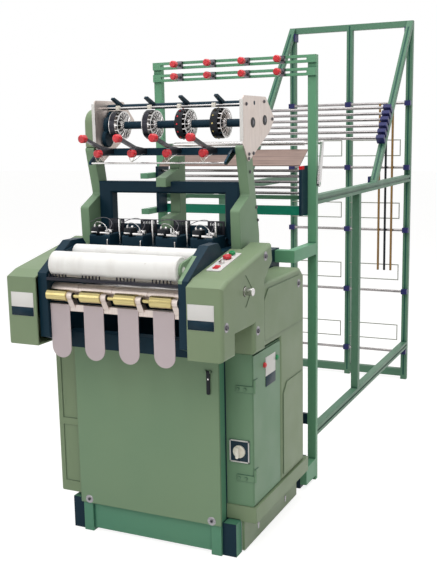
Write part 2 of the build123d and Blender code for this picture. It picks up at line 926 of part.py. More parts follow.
# Control plate and the controls that stand on it.
control_mid = (control_front + control_back) / 2
stem_bore = button_stem + journal_play
with BuildPart() as control_plate:
    with BuildSketch(slope_plane(control_mid)):
        RectangleRounded(control_width, control_back - control_front, control_width / 8)
    extrude(amount=control_thick)
    for y in (selector_y, stop_y, start_y):
        with BuildSketch(slope_plane(y)) as bore:
            Circle(stem_bore)
        extrude(bore.sketch, amount=control_thick, mode=Mode.SUBTRACT)
    with BuildSketch(slope_plane(rocker_y)):
        Rectangle(rocker_width + 2 * running_gap, 2 * (rocker_radius + running_gap))
    extrude(amount=control_thick, mode=Mode.SUBTRACT)
    rocker_axis = slope_plane(rocker_y).offset(control_thick / 2)
    pin_reach = rocker_width / 2 + running_gap + 2 * rocker_pin
    rocker_side = Plane(origin=rocker_axis.origin, x_dir=rocker_axis.y_dir, z_dir=rocker_axis.x_dir)
    with BuildSketch(rocker_side):
        Circle(rocker_pin + journal_play)
    extrude(amount=pin_reach, both=True, mode=Mode.SUBTRACT)
keep(control_plate, "control_plate")

with BuildPart() as rocker_switch:
    with BuildSketch(rocker_side):
        with BuildLine():
            Polyline(*[(y * rocker_radius, z * rocker_radius) for y, z in rocker_shares], close=True)
        make_face()
    extrude(amount=rocker_width / 2, both=True)
    with BuildSketch(rocker_side):
        Circle(rocker_pin)
    extrude(amount=pin_reach, both=True)
keep(rocker_switch, "rocker_switch")

with BuildPart() as selector_knob:
    with BuildSketch(slope_plane(selector_y).offset(control_thick + running_gap)):
        Circle(knob_radius)
    extrude(amount=knob_height / 2)
    with BuildSketch(slope_plane(selector_y).offset(control_thick + running_gap + knob_height / 2)):
        SlotOverall(2 * knob_radius - knob_grip / 2, knob_grip, rotation=90)
    extrude(amount=knob_height / 2)
    with BuildSketch(slope_plane(selector_y)):
        Circle(button_stem)
    extrude(amount=control_thick + running_gap)
keep(selector_knob, "selector_knob")


def push_button(y, radius):
    """A round button head above its stem, with room to travel."""
    head = control_thick + button_travel + running_gap
    with BuildSketch(slope_plane(y)) as stem:
        Circle(button_stem)
    extrude(stem.sketch, amount=head)
    with BuildSketch(slope_plane(y).offset(head)) as cap:
        Circle(radius)
    extrude(cap.sketch, amount=button_height)
    chamfer(edges().filter_by(GeomType.CIRCLE).sort_by(Axis.Z)[-1], length=button_height / 4)


with BuildPart() as stop_button:
    push_button(stop_y, stop_radius)
keep(stop_button, "stop_button")

with BuildPart() as start_button:
    push_button(start_y, start_radius)
keep(start_button, "start_button")

# Cover bolts: hexagon heads on the covers and two round heads on the front panel.
cover_bolt_places = [
    (bolt_high_y, bolt_high_z),
    (bolt_nose_y, bolt_nose_z),
    (bolt_skirt_y, bolt_skirt_z),
]
with BuildPart() as cover_bolts:
    for side in (-1, 1):
        with BuildSketch(side_plane(side * cover_outer)):
            with Locations(*cover_bolt_places):
                RegularPolygon(bolt_radius, 6)
        extrude(amount=side * bolt_head)
        raised = emboss_height * (side + 1) / 2
        with BuildSketch(side_plane(side * (side_cover_outer + raised))):
            with Locations((bolt_rear_y, bolt_rear_z)):
                RegularPolygon(bolt_radius, 6)
        extrude(amount=side * bolt_head)
        screw_y = (-panel_depth, -panel_depth - bolt_head / 2)
        stud(screw_y, (side * panel_screw_x, panel_screw_z), panel_screw_radius)
keep(cover_bolts, "cover_bolts")

# Cross beams: the deck with the batten bearings, the front beam and the motor plate.
with BuildPart() as cross_beams:
    bar((-frame_inner, frame_inner), (deck_front, deck_back), (deck_top - deck_thick, deck_top))
    front_beam_y = (beam_front, beam_front + beam_depth)
    bar((-frame_inner, frame_inner), front_beam_y, (beam_low, beam_low + beam_height))
    motor_plate_y = (motor_y - motor_plate_half, motor_y + motor_plate_half)
    bar((-frame_inner, frame_inner), motor_plate_y, (motor_plate_z - motor_plate_thick, motor_plate_z))
    for x in (-batten_boss_x, batten_boss_x):
        boss_x = (x - batten_boss_width / 2, x + batten_boss_width / 2)
        rod(boss_x, (batten_y, batten_z), batten_boss)
        bar(boss_x, (batten_y - batten_boss, batten_y + batten_boss), (deck_top, batten_z))
        rod(boss_x, (batten_y, batten_z), batten_radius + journal_play, Mode.SUBTRACT)
keep(cross_beams, "cross_beams")

# Drive motor: a finned body with end bells on a cast foot.
with BuildPart() as drive_motor:
    body_radius = motor_radius - motor_fin
    rod((motor_left, motor_right), (motor_y, motor_z), body_radius)
    with BuildSketch(side_plane(motor_left + motor_bell)):
        with Locations((motor_y, motor_z)):
            fin_start = motor_top_angle - motor_fin_arc / 2
            with PolarLocations(body_radius, motor_fins, fin_start, motor_fin_arc):
                Rectangle(2 * motor_fin, motor_fin)
    extrude(amount=motor_right - motor_left - 2 * motor_bell)
    foot_x = (motor_left + 2 * motor_bell, motor_right - 2 * motor_bell)
    foot_y = (motor_y - motor_foot_half, motor_y + motor_foot_half)
    bar(foot_x, foot_y, (motor_plate_z, motor_z - motor_foot_half))
    chamfer(drive_motor.edges().filter_by(GeomType.CIRCLE).group_by(Axis.X)[0], length=motor_bell / 2)
keep(drive_motor, "drive_motor")


def grooved_pulley(y, z, radius):
    """A flat belt pulley with a rim at each side of the belt."""
    rod((pulley_x - pulley_width / 2, pulley_x + pulley_width / 2), (y, z), radius)
    cheek = (pulley_width - belt_width) / 2 - running_gap
    for start in (pulley_x - pulley_width / 2, pulley_x + pulley_width / 2 - cheek):
        rod((start, start + cheek), (y, z), radius + pulley_rim)


with BuildPart() as motor_pulley:
    grooved_pulley(motor_y, motor_z, motor_pulley_radius)
    rod((motor_right + running_gap, pulley_x), (motor_y, motor_z), motor_shaft)
keep(motor_pulley, "motor_pulley")

with BuildPart() as main_shaft:
    grooved_pulley(main_shaft_y, main_shaft_z, main_pulley)
    rod((-frame_half, cover_outer), (main_shaft_y, main_shaft_z), main_shaft_radius)
    rod((cover_outer, main_shaft_end), (main_shaft_y, main_shaft_z), main_shaft_stub)
    chamfer(main_shaft.faces().sort_by(Axis.X)[-1].edges(), length=main_shaft_stub / 8)
keep(main_shaft, "main_shaft")


def belt_loop(extra, mode):
    """The space inside a belt line that lies a little outside both pulleys."""
    lobes(
        pulley_x - belt_width / 2,
        ((main_shaft_y, main_shaft_z), main_pulley + running_gap + extra),
        ((motor_y, motor_z), motor_pulley_radius + running_gap + extra),
        belt_width,
        mode,
    )


with BuildPart() as drive_belt:
    belt_loop(belt_thick, Mode.ADD)
    belt_loop(0, Mode.SUBTRACT)
keep(drive_belt, "drive_belt")

# Roller brackets: a shaped plate on each side frame that carries the two upper rollers.
bracket_inner = frame_inner - bracket_plate
bracket_outline = [
    (take_up_y, take_up_z - bracket_boss),
    (take_up_y, take_up_z + bracket_boss),
    (guide_y, guide_z + bracket_boss),
    (guide_y, guide_z - bracket_boss),
    (bracket_tail_y, bracket_tail_z),
    (bracket_tail_y - bracket_boss, bracket_tail_z),
]
with BuildPart() as roller_brackets:
    plate(side_plane(bracket_inner), bracket_outline, bracket_plate)
    for centre in ((take_up_y, take_up_z), (guide_y, guide_z)):
        rod((bracket_inner, frame_inner), centre, bracket_boss)
    for centre in ((take_up_y, take_up_z), (guide_y, guide_z)):
        rod((bracket_inner, frame_inner), centre, roller_journal + journal_play, Mode.SUBTRACT)
    shaft_pass = main_shaft_radius + stub_play
    rod((bracket_inner, frame_inner), (main_shaft_y, main_shaft_z), shaft_pass, Mode.SUBTRACT)
    mirror(about=Plane.YZ)
keep(roller_brackets, "roller_brackets")


def roller(centre, barrel, radius, end, journal):
    """A turned roller: a barrel and a journal at each end."""
    rod((-barrel, barrel), centre, radius)
    chamfer(edges().filter_by(GeomType.CIRCLE), length=radius / 16)
    rod((-end, end), centre, journal)


roller_barrel = bracket_inner - running_gap
with BuildPart() as take_up_roller:
    roller((take_up_y, take_up_z), roller_barrel, take_up_radius, frame_inner, roller_journal)
keep(take_up_roller, "take_up_roller")

with BuildPart() as guide_roller:
    roller((guide_y, guide_z), roller_barrel, guide_radius, frame_inner, roller_journal)
keep(guide_roller, "guide_roller")

# Draw roll: a knurled bar with relief grooves between the tapes.
draw_barrel = frame_inner - running_gap
with BuildPart() as draw_roll:
    roller((draw_y, draw_z), draw_barrel, draw_radius, frame_half, draw_journal)
    for x in spaced(heads + 1, nip_pitch)[1:-1]:
        groove_x = (x - nip_bracket_width / 2, x + nip_bracket_width / 2)
        with BuildSketch(side_plane(groove_x[0])) as ring:
            with Locations((draw_y, draw_z)):
                Circle(draw_radius)
                Circle(draw_radius - draw_groove, mode=Mode.SUBTRACT)
        extrude(ring.sketch, amount=nip_bracket_width, mode=Mode.SUBTRACT)
keep(draw_roll, "draw_roll")

# Nip rollers: four brass rollers on one spindle.
nip_places = [x - nip_shift for x in spaced(heads, nip_pitch)]
nip_step = nip_length / 2 + nip_bracket_width / 2 + running_gap
nip_bracket_places = [x + nip_step for x in nip_places]
spindle_end = nip_bracket_places[-1] + nip_bracket_width / 2
with BuildPart() as nip_rollers:
    for x in nip_places:
        rod((x - nip_length / 2, x + nip_length / 2), (nip_y, nip_z), nip_radius)
    chamfer(nip_rollers.edges().filter_by(GeomType.CIRCLE), length=nip_radius / 16)
    rod((nip_places[0] - nip_length / 2, spindle_end), (nip_y, nip_z), nip_spindle)
keep(nip_rollers, "nip_rollers")

# Nip brackets: forked lugs on the chute rail, which runs between the side frames.
rail_back = chute_rail_y + chute_rail_depth
rail_top = chute_rail_z + chute_rail_height
with BuildPart() as nip_brackets:
    bar((-frame_inner, frame_inner), (chute_rail_y, rail_back), (chute_rail_z, rail_top))
    for x in nip_bracket_places:
        lug = (x - nip_bracket_width / 2, x + nip_bracket_width / 2)
        rod(lug, (nip_y, nip_z), nip_bracket_boss)
        lug_outline = [
            (nip_y - nip_bracket_boss, nip_z),
            (chute_rail_y, rail_top - chute_rail_height / 2),
            (rail_back, rail_top),
            (nip_y + nip_bracket_boss, nip_z),
        ]
        plate(side_plane(lug[0]), lug_outline, nip_bracket_width)
        rod(lug, (nip_y, nip_z), nip_spindle + journal_play, Mode.SUBTRACT)
        draw_pass = draw_radius + 2 * draw_groove
        rod(lug, (draw_y, draw_z), draw_pass, Mode.SUBTRACT)
keep(nip_brackets, "nip_brackets")

# Chutes: four flat plates with round lower ends that hang on the rail.
with BuildPart() as chutes:
    for x in nip_places:
        with BuildSketch(front_plane(chute_rail_y)) as face:
            with BuildLine():
                Polyline(
                    (x - chute_width / 2, chute_low + chute_width / 2),
                    (x - chute_width / 2, rail_top),
                    (x + chute_width / 2, rail_top),
                    (x + chute_width / 2, chute_low + chute_width / 2),
                )
                RadiusArc(
                    (x + chute_width / 2, chute_low + chute_width / 2),
                    (x - chute_width / 2, chute_low + chute_width / 2),
                    chute_width / 2,
                )
            make_face()
        extrude(face.sketch, amount=chute_thick)
keep(chutes, "chutes")

# Comb bar: a square bar with flat guide blades for each tape.
comb_half = comb_section / 2
with BuildPart() as comb_bar:
    comb_bar_y = (comb_y - comb_half, comb_y + comb_half)
    bar((-frame_inner, frame_inner), comb_bar_y, (comb_z - comb_half, comb_z + comb_half))
    for x in nip_places:
        with BuildSketch(floor_plane(comb_z + comb_half)) as pins:
            with Locations((x, comb_y)):
                with GridLocations(comb_pin_pitch, 0, comb_pins, 1):
                    Rectangle(comb_pin, comb_section / 2)
        extrude(pins.sketch, amount=comb_pin_height)
keep(comb_bar, "comb_bar")

# Weaving heads: grooved beds on the deck, each with a pivot post for its weft needle.
head_places = spaced(heads, head_pitch)
bed_top = deck_top + head_height
with BuildPart() as weaving_heads:
    for x in head_places:
        bar((x - head_width / 2, x + head_width / 2), (head_front, head_back), (deck_top, bed_top))
    bed_fronts = weaving_heads.faces().sort_by(Axis.Y)[:heads]
    chamfer(bed_fronts.edges().group_by(Axis.Z)[-1], length=head_groove_depth)
    for x in head_places:
        groove = (x - head_groove / 2, x + head_groove / 2)
        bar(groove, (head_front, head_back), (bed_top - head_groove_depth, bed_top), Mode.SUBTRACT)
        with BuildSketch(floor_plane(bed_top)) as post:
            with Locations((x - needle_inset, needle_y)):
                Circle(needle_post)
        extrude(post.sketch, amount=needle_post_height)
keep(weaving_heads, "weaving_heads")

# Weft needles: flat hooked blades that swing on the posts.
needle_names = [f"weft_needle_{index + 1}" for index in range(heads)]
for name, x in zip(needle_names, head_places):
    with BuildPart() as weft_needle:
        pivot = (x - needle_inset, needle_y)
        tip = (pivot[0] + needle_reach, pivot[1] - needle_eye)
        with BuildSketch(floor_plane(bed_top + running_gap)):
            with Locations(pivot):
                Circle(needle_eye)
            with BuildLine():
                SagittaArc((pivot[0], pivot[1] + needle_blade), tip, needle_eye)
                Line(tip, (tip[0], tip[1] - needle_blade))
                SagittaArc((tip[0], tip[1] - needle_blade), (pivot[0], pivot[1] - needle_blade), -needle_eye)
                Line((pivot[0], pivot[1] - needle_blade), (pivot[0], pivot[1] + needle_blade))
            make_face()
            with Locations(pivot):
                Circle(needle_post + journal_play, mode=Mode.SUBTRACT)
        extrude(amount=needle_thick)
    keep(weft_needle, name)

# Reed batten: a rocking shaft that carries four slotted reeds.
batten_end = batten_boss_x + batten_boss_width / 2
reed_low = batten_z + batten_boss + reed_thick
slot_pitch = (reed_width - 2 * reed_border) / reed_slots
with BuildPart() as reed_batten:
    rod((-batten_end, batten_end), (batten_y, batten_z), batten_radius)
    for x in head_places:
        reed_y = (batten_y - reed_thick / 2, batten_y + reed_thick / 2)
        bar((x - reed_width / 2, x + reed_width / 2), reed_y, (reed_low, reed_top))
        stalk = (x - reed_border, x + reed_border)
        bar(stalk, reed_y, (batten_z, reed_low))
        with BuildSketch(front_plane(reed_y[1])) as slots:
            with Locations((x, (reed_low + reed_top) / 2)):
                with GridLocations(slot_pitch, 0, reed_slots, 1):
                    Rectangle(slot_pitch / 2, reed_top - reed_low - 2 * reed_border)
        extrude(slots.sketch, amount=reed_thick, mode=Mode.SUBTRACT)
keep(reed_batten, "reed_batten")

# Harness frame: a heavy portal that stands across the deck.
harness_back = harness_front + harness_depth
harness_top = harness_bar_low + harness_bar_height
with BuildPart() as harness_frame:
    leg_inner = frame_half - harness_leg
    harness_outline = [
        (-frame_half, deck_top),
        (-frame_half, harness_top),
        (frame_half, harness_top),
        (frame_half, deck_top),
        (leg_inner, deck_top),
        (leg_inner, harness_bar_low),
        (-leg_inner, harness_bar_low),
        (-leg_inner, deck_top),
    ]
    plate(front_plane(harness_back), harness_outline, harness_depth)
    chamfer(harness_frame.faces().sort_by(Axis.Y)[0].edges(), length=harness_edge)
keep(harness_frame, "harness_frame")

# Arms: two cranked plates on the side frames that carry the upper feed, and the yoke on the
# deck between them, whose nose hooks over the harness bar.
arm_outline = [
    (arm_front, arm_low),
    (arm_elbow_front, arm_elbow_z),
    (arm_neck_front, arm_neck_z),
    (arm_top_front, arm_top),
    (arm_top_back, arm_top),
    (arm_back, arm_hip_z),
    (arm_back, arm_low),
]
yoke_outline = [
    (deck_back, deck_top),
    (deck_back, yoke_top),
    (yoke_spine, yoke_top),
    (yoke_spine, yoke_root_top),
    (yoke_nose, yoke_nose_top),
    (yoke_nose, yoke_nose_low),
    (harness_front - running_gap, yoke_nose_low),
    (harness_front - running_gap, harness_top),
    (yoke_spine, harness_top),
    (yoke_spine, yoke_finger_root),
    (yoke_finger, yoke_finger_top),
    (yoke_finger, yoke_finger_low),
    (yoke_spine, yoke_heel),
    (yoke_spine, deck_top),
]
with BuildPart() as arms:
    plate(side_plane(frame_half), arm_outline, arm_thick, corner=arm_corner)
    mirror(about=Plane.YZ)
    plate(side_plane(-yoke_half), yoke_outline, 2 * yoke_half)
keep(arms, "arms")

# Bearing plates: one on the right arm and one on the drive casing, alike in outline, with folded front lips.
plate_outline = [
    (plate_front, arm_top),
    (plate_front, plate_top),
    (plate_top_back, plate_top),
    (plate_nose, plate_nose_z),
    (plate_belly, plate_belly_z),
    (plate_heel, plate_heel_z),
    (plate_toe, plate_toe_z),
    (arm_top_front, plate_heel_z),
]
right_plate_x = frame_half + arm_thick
left_plate_x = -left_plate_half
left_plate_face = left_plate_x + bearing_plate
bar_y = (front_bar_y - front_bar / 2, front_bar_y + front_bar / 2)
bar_z = (front_bar_z - front_bar / 2, front_bar_z + front_bar / 2)
with BuildPart() as bearing_plates:
    for x in (left_plate_x, right_plate_x):
        plate(side_plane(x), plate_outline, bearing_plate, corner=plate_corner)
        lip_y = (plate_front, plate_front + plate_lip_thick)
        bar((x - plate_lip, x), lip_y, (arm_top + plate_corner, plate_top - plate_corner))
        rod((x, x + bearing_plate), (feed_y, feed_z), feed_journal + journal_play, Mode.SUBTRACT)
        rod((x, x + bearing_plate), (lever_y, lever_z), lever_journal + journal_play, Mode.SUBTRACT)
    bar((left_plate_x, left_plate_face), bar_y, bar_z, Mode.SUBTRACT)
keep(bearing_plates, "bearing_plates")

# Drive casing: a round-topped housing on the left arm.
with BuildPart() as drive_casing:
    casing_outer = left_plate_x - casing_width
    bar((casing_outer, left_plate_x), (casing_front, casing_back), (arm_top, casing_top))
    crown = drive_casing.edges().filter_by(Axis.X).group_by(Axis.Z)[-1]
    fillet(crown, radius=casing_round)
    fillet(drive_casing.faces().sort_by(Axis.X)[0].edges(), radius=plate_corner / 2)
    pocket_x = (left_plate_x - casing_width / 2, left_plate_x)
    rod(pocket_x, (feed_y, feed_z), feed_radius + stub_play, Mode.SUBTRACT)
    rod(pocket_x, (lever_y, lever_z), feed_radius, Mode.SUBTRACT)
keep(drive_casing, "drive_casing")

# Belt case: a lobed cover on the inner face of the left bearing plate.
case_face = left_plate_face + belt_case_thick
with BuildPart() as belt_case:
    lobes(
        left_plate_face,
        ((feed_y, feed_z), belt_case_front),
        ((rear_rod_y, rear_rod_z), belt_case_rear),
        belt_case_thick,
    )
    chamfer(belt_case.faces().sort_by(Axis.X)[-1].edges(), length=belt_case_thick / 4)
    rod((left_plate_face, case_face), (feed_y, feed_z), feed_radius + stub_play, Mode.SUBTRACT)
keep(belt_case, "belt_case")

# Feed shaft between the bearing plates.
with BuildPart() as feed_shaft:
    feed_span = (left_plate_face + running_gap, right_plate_x - running_gap)
    rod(feed_span, (feed_y, feed_z), feed_radius)
    rod((left_plate_x, right_plate_x + bearing_plate), (feed_y, feed_z), feed_journal)
keep(feed_shaft, "feed_shaft")

# Feed wheels: four hubs with radial fins, bored for the shaft.
wheel_places = spaced(heads, wheel_pitch)
fin_length = wheel_radius - wheel_hub + wheel_fin
with BuildPart() as feed_wheels:
    for x in wheel_places:
        with BuildSketch(side_plane(x - wheel_width / 2)) as wheel:
            with Locations((feed_y, feed_z)):
                Circle(wheel_hub)
                with PolarLocations(wheel_radius - fin_length / 2, wheel_fins):
                    Rectangle(fin_length, wheel_fin)
                Circle(feed_radius + journal_play, mode=Mode.SUBTRACT)
        extrude(wheel.sketch, amount=wheel_width)
keep(feed_wheels, "feed_wheels")

# Lever tube: a cross tube with a flat lever above each wheel.
lever_outline = [
    (lever_y, lever_z + lever_tube_radius),
    (lever_y - lever_reach, lever_z + lever_rise + lever_tip),
    (lever_y - lever_reach - lever_tip, lever_z + lever_rise),
    (lever_y - lever_tube_radius, lever_z),
]
with BuildPart() as lever_tube:
    rod(feed_span, (lever_y, lever_z), lever_tube_radius)
    rod((left_plate_x, right_plate_x + bearing_plate), (lever_y, lever_z), lever_journal)
    for x in wheel_places:
        plate(side_plane(x - lever_width / 2), lever_outline, lever_width)
keep(lever_tube, "lever_tube")

# Guide rods between the bearing plates.
with BuildPart() as guide_rods:
    rod((left_plate_face, right_plate_x), (guide_rod_y, guide_rod_z), guide_rod_radius)
    rod((case_face, right_plate_x), (rear_rod_y, rear_rod_z), rear_rod_radius)
keep(guide_rods, "guide_rods")

# Front bar: a square bar with round ends between the arms.
with BuildPart() as front_square_bar:
    bar((-front_bar_half, front_bar_half), bar_y, bar_z)
    rod((-frame_half, frame_half), (front_bar_y, front_bar_z), bar_journal)
keep(front_square_bar, "front_bar")

# Tension brackets: four cranked arms on the front bar and eight clamps on the slotted rails.
tension_places = spaced(heads, tension_pitch)
tension_outline = [
    (bar_y[0], front_bar_z - tension_thick / 2),
    (bar_y[0], front_bar_z + tension_thick),
    (tension_lower_y + tension_thick, tension_lower_z + cap_radius + tension_thick),
    (tension_upper_y, tension_upper_z + tension_thick / 2),
    (tension_upper_y, tension_upper_z - tension_thick / 2),
    (tension_lower_y, tension_lower_z + cap_radius + tension_thick / 4),
    (tension_lower_y, tension_lower_z - tension_thick / 2),
    (tension_lower_y + tension_thick, tension_lower_z - tension_thick / 2),
]
rail_front = stand_post_y - slot_rail_depth
rail_heights = [stand_top - slot_rail_height / 2 - step * slot_rail_pitch for step in range(2)]
rail_cap_places = [(x, z) for z in rail_heights for x in spaced(heads, rail_cap_pitch)]
rail_cap_y = rail_front - rail_cap_reach
with BuildPart() as tension_brackets:
    for x in tension_places:
        plate(side_plane(x - tension_width / 2), tension_outline, tension_width)
    for x, z in rail_cap_places:
        clamp_x = (x - rail_clamp_width / 2, x + rail_clamp_width / 2)
        clamp_z = (z - slot_rail_height / 2, z + slot_rail_height / 2)
        bar(clamp_x, (rail_front - rail_clamp_depth, rail_front), clamp_z)
        stud((rail_front - rail_clamp_depth, rail_cap_y), (x, z), rail_stem)
keep(tension_brackets, "tension_brackets")


def round_cap(back, centre):
    """A cap along Y whose front edge tapers in."""
    stud((back, back - cap_length + cap_crown), centre, cap_radius)
    with BuildSketch(front_plane(back - cap_length + cap_crown)) as crown_base:
        with Locations(centre):
            Circle(cap_radius)
    extrude(crown_base.sketch, amount=cap_crown, taper=45)


# Red caps on the tension arms and on the rail clamps.
with BuildPart() as red_caps:
    for x in tension_places:
        round_cap(tension_lower_y, (x, tension_lower_z))
        round_cap(tension_upper_y, (x, tension_upper_z))
    for place in rail_cap_places:
        round_cap(rail_cap_y, place)
keep(red_caps, "red_caps")

# Stop bail: a rod below the front bar on two arms that turn on the bar's round ends.
with BuildPart() as stop_bail:
    for start in (-front_bar_half - bail_arm - running_gap, front_bar_half + running_gap):
        lobes(start, ((front_bar_y, front_bar_z), bail_eye), ((bail_y, bail_z), 2 * bail_rod), bail_arm)
        rod((start, start + bail_arm), (front_bar_y, front_bar_z), bar_journal + journal_play, Mode.SUBTRACT)
    bail_reach = front_bar_half + running_gap + bail_arm
    rod((-bail_reach, bail_reach), (bail_y, bail_z), bail_rod)
keep(stop_bail, "stop_bail")

# Warp stand: two posts with slotted rails, beams, and the ties to the side frames.
post_face = stand_half - stand_post
stand_back = stand_post_y + stand_post_depth
beam_y = (stand_post_y, stand_post_y + beam_depth_back)
upper_tie_z = (upper_tie_low, upper_tie_low + upper_tie_height)
with BuildPart() as warp_frame:
    for start in (-stand_half, post_face):
        bar((start, start + stand_post), (stand_post_y, stand_back), (0, stand_top))
        bar((start, start + stand_post), (upper_tie_split, stand_post_y), upper_tie_z)
    for low, height in (
        (warp_beam_low, warp_beam_height),
        (thin_beam_low, thin_beam_height),
        (low_beam_low, low_beam_height),
    ):
        bar((-post_face, post_face), beam_y, (low, low + height))
    for z in rail_heights:
        rail_z = (z - slot_rail_height / 2, z + slot_rail_height / 2)
        bar((-stand_half, stand_half), (rail_front, stand_post_y), rail_z)
        with BuildSketch(front_plane(stand_post_y)) as long_slot:
            with Locations((0, z)):
                SlotOverall(2 * (stand_half - slot_margin), slot_height)
        extrude(long_slot.sketch, amount=slot_rail_depth, mode=Mode.SUBTRACT)
    for side in (-1, 1):
        tie = sorted((side * frame_half, side * stand_half))
        bar(tie, (upper_tie_front, upper_tie_split), upper_tie_z)
        foot_tie = sorted((side * lug_half, side * stand_half))
        bar(foot_tie, (lower_tie_front, stand_post_y), (lower_tie_low, lower_tie_low + lower_tie_height))
        pin = sorted((side * stand_half, side * (stand_half + swing_link_gap + swing_link)))
        rod(pin, (swing_pivot_y, swing_pivot_z), swing_pin)
    for z in (side_bracket_low, side_bracket_high):
        bracket_z = (z - side_bracket_height / 2, z + side_bracket_height / 2)
        bar((-stand_half, -post_face), (side_bracket_front, stand_post_y), bracket_z)
keep(warp_frame, "warp_frame")

# End plates between the posts, which hold the warp bars.
end_inner = post_face - end_plate_thick
end_outline = [
    (end_plate_front, end_plate_low),
    (stand_post_y, end_plate_low),
    (stand_post_y, end_plate_seat),
    (stand_back, end_plate_seat),
    (stand_back, end_plate_top),
    (end_plate_front, end_plate_top),
]
with BuildPart() as warp_end_plates:
    for start in (-post_face, end_inner):
        plate(side_plane(start), end_outline, end_plate_thick)
keep(warp_end_plates, "warp_end_plates")

with BuildPart() as warp_bars:
    for step in range(warp_bar_count):
        z = warp_bar_high - step * warp_bar_pitch
        rod((-end_inner, end_inner), (warp_bar_y, z), warp_bar_radius)
keep(warp_bars, "warp_bars")

# Warp plate: an inclined sheet that leads the yarns down to the bars.
with BuildPart() as warp_plate:
    incline = [
        (warp_plate_front, end_plate_top),
        (warp_plate_back, warp_plate_back_z),
        (warp_plate_back, warp_plate_back_z + warp_plate_thick),
        (warp_plate_front, end_plate_top + warp_plate_thick),
    ]
    plate(side_plane(-end_inner), incline, 2 * end_inner)
keep(warp_plate, "warp_plate")

# Swing roll: a sprung roll on two links that turn on pins beside the posts.
link_inner = stand_half + swing_link_gap
with BuildPart() as swing_roll:
    rod((-swing_half, swing_half), (swing_y, swing_z), swing_radius)
    rod((-link_inner - swing_link, link_inner + swing_link), (swing_y, swing_z), swing_shaft)
    for start in (-link_inner - swing_link, link_inner):
        pivot_place = (swing_pivot_y, swing_pivot_z)
        lobes(start, (pivot_place, swing_boss), ((swing_y, swing_z), swing_radius), swing_link)
        rod((start, start + swing_link), pivot_place, swing_pin + journal_play, Mode.SUBTRACT)
keep(swing_roll, "swing_roll")

# Creel frame: rear posts and rails, side rails to the warp stand, uprights and diagonals.
creel_front = creel_back - creel_post
creel_side = creel_half - creel_post
mid_top = creel_mid_low + creel_mid_height
diagonal_run = diagonal_back - diagonal_front
diagonal_rise = diagonal_back_z - mid_top
diagonal_length = hypot(diagonal_run, diagonal_rise)
foot_half = diagonal_width / 2 * diagonal_length / diagonal_rise
head_half = diagonal_width / 2 * diagonal_length / diagonal_run
head_z = mid_top + (creel_front - diagonal_front) * diagonal_rise / diagonal_run
diagonal_outline = [
    (diagonal_front - foot_half, mid_top),
    (diagonal_front + foot_half, mid_top),
    (creel_front, head_z - head_half),
    (creel_front, head_z + head_half),
]
with BuildPart() as creel_frame:
    for start in (-creel_half, -creel_post / 2, creel_side):
        bar((start, start + creel_post), (creel_front, creel_back), (0, creel_top))
    bar((-creel_side, creel_side), (creel_front, creel_back), (creel_top - creel_post, creel_top))
    foot_z = (creel_foot_low, creel_foot_low + creel_foot_height)
    bar((-creel_side, creel_side), (creel_front, creel_back), foot_z)
    for start in (-creel_half, creel_side):
        rail_x = (start, start + creel_post)
        bar(rail_x, (stand_back, creel_front), (creel_rail_low, creel_rail_low + creel_rail_height))
        bar(rail_x, (stand_back, creel_front), (creel_mid_low, mid_top))
        upright_z = (creel_rail_low + creel_rail_height, creel_mid_low)
        bar(rail_x, (upright_y, upright_y + creel_post), upright_z)
        plate(side_plane(start), diagonal_outline, creel_post)
    for side in (-1, 1):
        groove_x = sorted((side * creel_half, side * (creel_half - rail_groove_depth)))
        for low, height in ((creel_mid_low, creel_mid_height), (creel_rail_low, creel_rail_height)):
            middle = low + height / 2
            groove_z = (middle - rail_groove / 2, middle + rail_groove / 2)
            bar(groove_x, (stand_back, creel_front), groove_z, Mode.SUBTRACT)
keep(creel_frame, "creel_frame")

# Creel bars: six on the diagonals and five pairs of spans across the rear posts.
bar_shares = [
    first_bar_share + (last_bar_share - first_bar_share) * step / (front_bars - 1)
    for step in range(front_bars)
]
lean_y = diagonal_run / diagonal_length
lean_z = diagonal_rise / diagonal_length
rear_heights = [rear_bar_low + step * rear_bar_pitch for step in range(rear_bars)]
rear_bar_y = creel_front - clamp_depth / 2


def beside_diagonal(share, along, out):
    """A point by its share of the diagonal, a step along it and a step out in front of it."""
    y = diagonal_front + share * diagonal_run + along * lean_y - out * lean_z
    z = mid_top + share * diagonal_rise + along * lean_z + out * lean_y
    return (y, z)


with BuildPart() as creel_bars:
    for share in bar_shares:
        rod((-bar_half, bar_half), beside_diagonal(share, 0, front_bar_offset), bar_radius)
    for z in rear_heights:
        for span in ((-creel_side, -creel_post / 2), (creel_post / 2, creel_side)):
            rod(span, (rear_bar_y, z), bar_radius)
keep(creel_bars, "creel_bars")

# Creel clamps: blocks that hold the bars, and gussets at the ends of the diagonals.
clamp_half = clamp_size / 2
block_half = clamp_block / 2
with BuildPart() as creel_clamps:
    for side in (-1, 1):
        start = min(side * bar_half, side * creel_half)
        for share in bar_shares:
            block = [
                beside_diagonal(share, -block_half, diagonal_width / 2),
                beside_diagonal(share, block_half, diagonal_width / 2),
                beside_diagonal(share, block_half, front_bar_offset + clamp_half),
                beside_diagonal(share, -block_half, front_bar_offset + clamp_half),
            ]
            plate(side_plane(start), block, creel_half - bar_half)
        gusset = sorted((side * creel_side, side * (creel_side - gusset_thick)))
        foot_y = (diagonal_front - gusset_half, diagonal_front + gusset_half)
        bar(gusset, foot_y, (creel_mid_low, mid_top + gusset_half))
        head_y = (creel_front - gusset_half, creel_back)
        bar(gusset, head_y, (head_z - 2 * gusset_half, creel_top - creel_post))
    for z in rear_heights:
        for start in (-creel_half, -creel_post / 2, creel_side):
            clamp_z = (z - clamp_half, z + clamp_half)
            bar((start, start + creel_post), (creel_front - clamp_depth, creel_front), clamp_z)
keep(creel_clamps, "creel_clamps")

